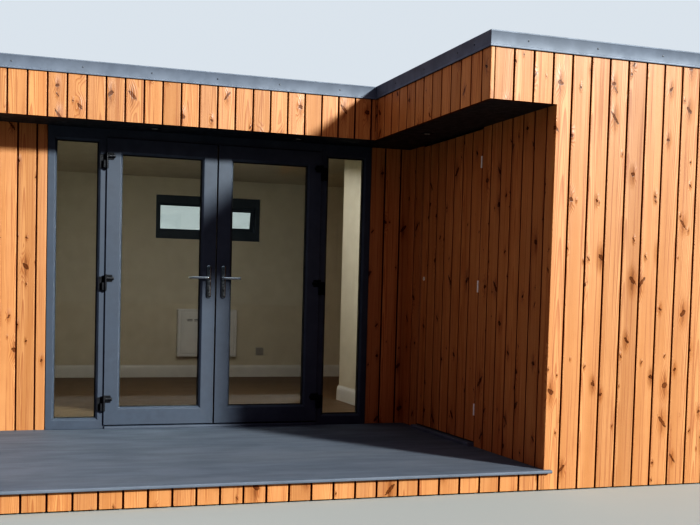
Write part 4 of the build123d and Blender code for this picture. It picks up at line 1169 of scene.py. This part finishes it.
x, y, z = limits("skirting")
back_of_store = limits("partition_wall")[1][1]
ogee = [(0, 0), (15, 0), (15, 2), (15, 95), (14.6, 98), (13.2, 100), (12.6, 102), (12.6, 106),
        (11.4, 111), (8.4, 116), (6.0, 120), (5.0, 125), (4.6, 130), (0, 130)]
runs = (
    ((x[0] + 15.3, y[1], z[0]), (x[1] - 15.3, y[1], z[0]), FORWARDS),
    ((x[0], y[0], z[0]), (x[0], y[1], z[0]), RIGHTWARDS),
    ((x[1], back_of_store, z[0]), (x[1], y[1], z[0]), LEFTWARDS),
    ((0, y[0], z[0]), (0, back_of_store + 15, z[0]), LEFTWARDS),
    ((0.3, back_of_store, z[0]), (x[1] - 15.3, back_of_store, z[0]), BACKWARDS),
)
gloss_white = coated("white_paint", (0.80, 0.79, 0.76), (0.76, 0.75, 0.72),
                     (0.5, 0.45, 0.38, 0.1), (0.35, 0.5), 2.0, 0.0001)
boards = joined(*[moulding(*run, ogee) for run in runs])
make_piece("skirting_boards", boards, gloss_white, "skirting")


# Panel heater
# A pressed steel case, enamelled white, hung on the rear wall, with louvres near its top and
# a small dial at its lower right.

enamel = coated("white_enamel", (0.84, 0.84, 0.83), (0.80, 0.80, 0.79), (0.6, 0.6, 0.6, 0.1),
                (0.28, 0.4), 3.0, 0.0001)
shadow_grey = coated("louvre_shadow", (0.10, 0.10, 0.10), (0.06, 0.06, 0.06),
                     (0.2, 0.2, 0.2, 0.1), (0.5, 0.6), 9.0)
x, y, z = limits("panel_heater")
pressed = [(3, 0), (0, 2), (0, 45), (1.2, 50), (4, 53.6), (9, 55.4), (13, 55.8), (26, 55.8),
           (28, 54.4), (31, 54.4), (33, 55.8), (46, 57.4), (80, 58.4)]
half = ((x[1] - x[0]) / 2, (z[1] - z[0]) / 2)
case = turned_plate((sum(x) / 2, y[1], sum(z) / 2), FORWARDS, RIGHTWARDS, half, 14, pressed, 48)
make_piece("heater_case", case, enamel, "panel_heater")
face = y[1] - pressed[-1][1]
slot = [(0, -0.4), (0, 0.5), (0.6, 0.9), (1.6, 1.0)]
louvres = [turned_plate((px, face, z[1] - 110 - drop), FORWARDS, RIGHTWARDS, (30, 3), 3, slot, 16)
           for px in np.linspace(x[0] + 130, x[1] - 130, 6) for drop in (0, 15)]
make_piece("heater_louvres", joined(*louvres), shadow_grey)
dial = [(0, -0.3), (0, 1.0), (2.4, 1.2)]
dial = disc((x[1] - 110, face, z[0] + 100), FORWARDS, RIGHTWARDS, 11, dial, 32)
make_piece("heater_dial", dial, enamel)


# Wall socket
# A moulded plate with one rocker switch and one three-pin outlet, held by two screws to a
# box in the rear wall.

socket_grey = coated("socket_moulding", (0.46, 0.44, 0.41), (0.42, 0.40, 0.37),
                     (0.5, 0.5, 0.5, 0.1), (0.3, 0.4), 9.0)
x, y, z = limits("wall_socket")
middle = (sum(x) / 2, y[1], sum(z) / 2)
plate = turned_plate(middle, FORWARDS, RIGHTWARDS, (43, 43), 4,
                     [(0, 0), (0, 4.6), (0.8, 6.8), (2.6, 8.0), (6, 8.2)], 32)
rocker = turned_plate((middle[0] + 22, y[1] - 8.0, middle[2] + 20), FORWARDS, RIGHTWARDS,
                      (6.5, 9.5), 1.5, [(0, 0), (0, 0.4), (1.2, 0.9)], 16)
make_piece("socket_plate", joined(plate, rocker), socket_grey, "wall_socket")
earth, live, screw = (2.2, 4.2), (3.4, 1.7), (2.4, 2.4)
# Each is a black plate: painted shade in place of a hole.
holes = ((0, 9, earth), (-10, -8, live), (10, -8, live), (-30, 0, screw), (30, 0, screw))
holes = [turned_plate((middle[0] + px, y[1] - 8.1, middle[2] + pz), FORWARDS, RIGHTWARDS, size,
                      min(size), HOLE, 16) for px, pz, size in holes]
make_piece("socket_holes", joined(*holes), rubber_and_hole_shade)


# Studio
# A pale floor under an even pale sky, a far soft lamp from the front right, one from behind
# and two small ones for the room. The picture's tones fall faster in the dark, as film's do.


def studio_floor():
    """A large flat sheet under the building, just below its ground line."""
    size = 60.0
    s, t = np.meshgrid(np.linspace(-size, size, 9), np.linspace(-size, size, 9))
    mesh = bpy.data.meshes.new("studio_floor")
    corners = np.stack([s.ravel(), t.ravel(), np.full(s.size, -0.002)], 1)
    mesh.from_pydata(corners.tolist(), [], grid(*s.shape)[1].tolist())
    floor = bpy.data.objects.new("studio_floor", mesh)
    bpy.context.scene.collection.objects.link(floor)
    material, tree, shader = new_finish("studio_floor", Roughness=0.9, Specular_IOR_Level=0.0)
    ray = add_node(tree, "LightPath").outputs
    # Where a reflection or a ray through glass meets it, the floor is painted near black: a painted
    # dark reflection of the surroundings.
    mirrored = worked("MAXIMUM", ray["Is Glossy Ray"], ray["Is Transmission Ray"])
    colour = tinted(mirrored, (0.385, 0.405, 0.38), (0.05, 0.05, 0.05))
    feed(shader, Base_Color=colour)
    mesh.materials.append(material)


studio_floor()
world = bpy.data.worlds.new("studio_sky")
bpy.context.scene.world = world
world.use_nodes = True
tree = world.node_tree
direction = add_node(tree, "TexCoord").outputs["Generated"]
height = add_node(tree, "SeparateXYZ", {0: direction}).outputs[2]
ray = add_node(tree, "LightPath").outputs
warmth = tinted(ranged(height, 0.1, 0.7), (1.0, 0.48, 0.74), (0.92, 0.86, 1.0))
strength = ranged(height, 0.0, 0.7, 0.37, 0.60)
lighting = add_node(tree, "Background", {"Color": warmth, "Strength": strength})
strength = ranged(height, 0.1, 0.8, 0.12, 1.00, "LINEAR")
mirrored = add_node(tree, "Background", {"Color": (0.72, 0.86, 1.0), "Strength": strength})
seen = add_node(tree, "Background", {"Color": (0.80, 0.86, 0.92), "Strength": 1.0})
glossy = worked("MAXIMUM", ray["Is Glossy Ray"], ray["Is Transmission Ray"])
beyond = worked("GREATER_THAN", ray["Transmission Depth"], 7.5)
straight = worked("MAXIMUM", ray["Is Camera Ray"], beyond)
sky = add_node(tree, "MixShader", {0: glossy, 1: lighting.outputs[0], 2: mirrored.outputs[0]})
sky = add_node(tree, "MixShader", {0: straight, 1: sky.outputs[0], 2: seen.outputs[0]})
tree.links.new(sky.outputs[0], tree.nodes["World Output"].inputs["Surface"])

TOE = 0.06  # below about this light, the picture's tones fall faster than the light does
picture = bpy.context.scene.view_settings
picture.view_transform = "Standard"
picture.gamma = 0.85
picture.use_curve_mapping = True
picture.curve_mapping.extend = "EXTRAPOLATED"
tones = picture.curve_mapping.curves[3].points
for tone in (0.01, 0.03, 0.06, 0.12, 0.25, 0.5):
    tones.new(tone, tone**2 / (tone + TOE))
tones[-1].location = (1.0, 1.0 / (1.0 + TOE))
picture.curve_mapping.update()


def soft_sun(name, towards, width, strength, colour):
    """A far lamp that lights everything alike from one direction, a few degrees wide."""
    data = bpy.data.lights.new(name, "SUN")
    data.angle, data.energy, data.color = math.radians(width), strength, colour
    lamp = bpy.data.objects.new(name, data)
    lamp.rotation_euler = Vector(towards).to_track_quat("Z", "Y").to_euler()
    bpy.context.scene.collection.objects.link(lamp)


def soft_lamp(name, place, aim, size, power, colour):
    """A square soft lamp turned towards the point that it lights."""
    data = bpy.data.lights.new(name, "AREA")
    data.shape, data.size, data.energy, data.color = "SQUARE", size, power, colour
    lamp = bpy.data.objects.new(name, data)
    lamp.location = place
    lamp.rotation_euler = (Vector(aim) - Vector(place)).to_track_quat("-Z", "Y").to_euler()
    lamp.visible_camera = lamp.visible_glossy = lamp.visible_transmission = False
    bpy.context.scene.collection.objects.link(lamp)


soft_sun("key_lamp", (14.9, -20.5, 11.6), 6.0, 7.6, (1.0, 1.04, 1.03))
soft_lamp("back_lamp", (-11.0, 15.0, 9.0), (0.0, 1.5, 1.2), 7.0, 900.0, (0.92, 0.96, 1.0))
soft_lamp("room_lamp", (-0.4, 0.6, 2.2), (-0.4, 1.0, 0.0), 2.2, 37.0, (1.0, 0.98, 1.0))
soft_lamp("nook_lamp", (0.05, -0.55, 1.30), (0.67, 0.235, 1.25), 0.4, 3.4, (1.0, 0.98, 0.94))


def photo_camera():
    """The camera fitted to the photograph: a place, a heading, a tilt and a small roll."""
    data = bpy.data.cameras.new("photo_camera")
    data.sensor_width, data.lens = 36.0, 49.3107
    data.shift_x, data.shift_y = 0.10133, 0.10186
    camera = bpy.data.objects.new("photo_camera", data)
    place = metres(-2987.6, -4631.9, 1083.8)
    heading, tilt, roll = (math.radians(turn) for turn in (-17.115854, 90 - 2.604626, 1.319125))
    turn = (Matrix.Rotation(heading, 4, "Z") @ Matrix.Rotation(tilt, 4, "X")
            @ Matrix.Rotation(roll, 4, "Z"))
    camera.matrix_world = Matrix.Translation(Vector(place)) @ turn
    bpy.context.scene.collection.objects.link(camera)
    bpy.context.scene.camera = camera


photo_camera()
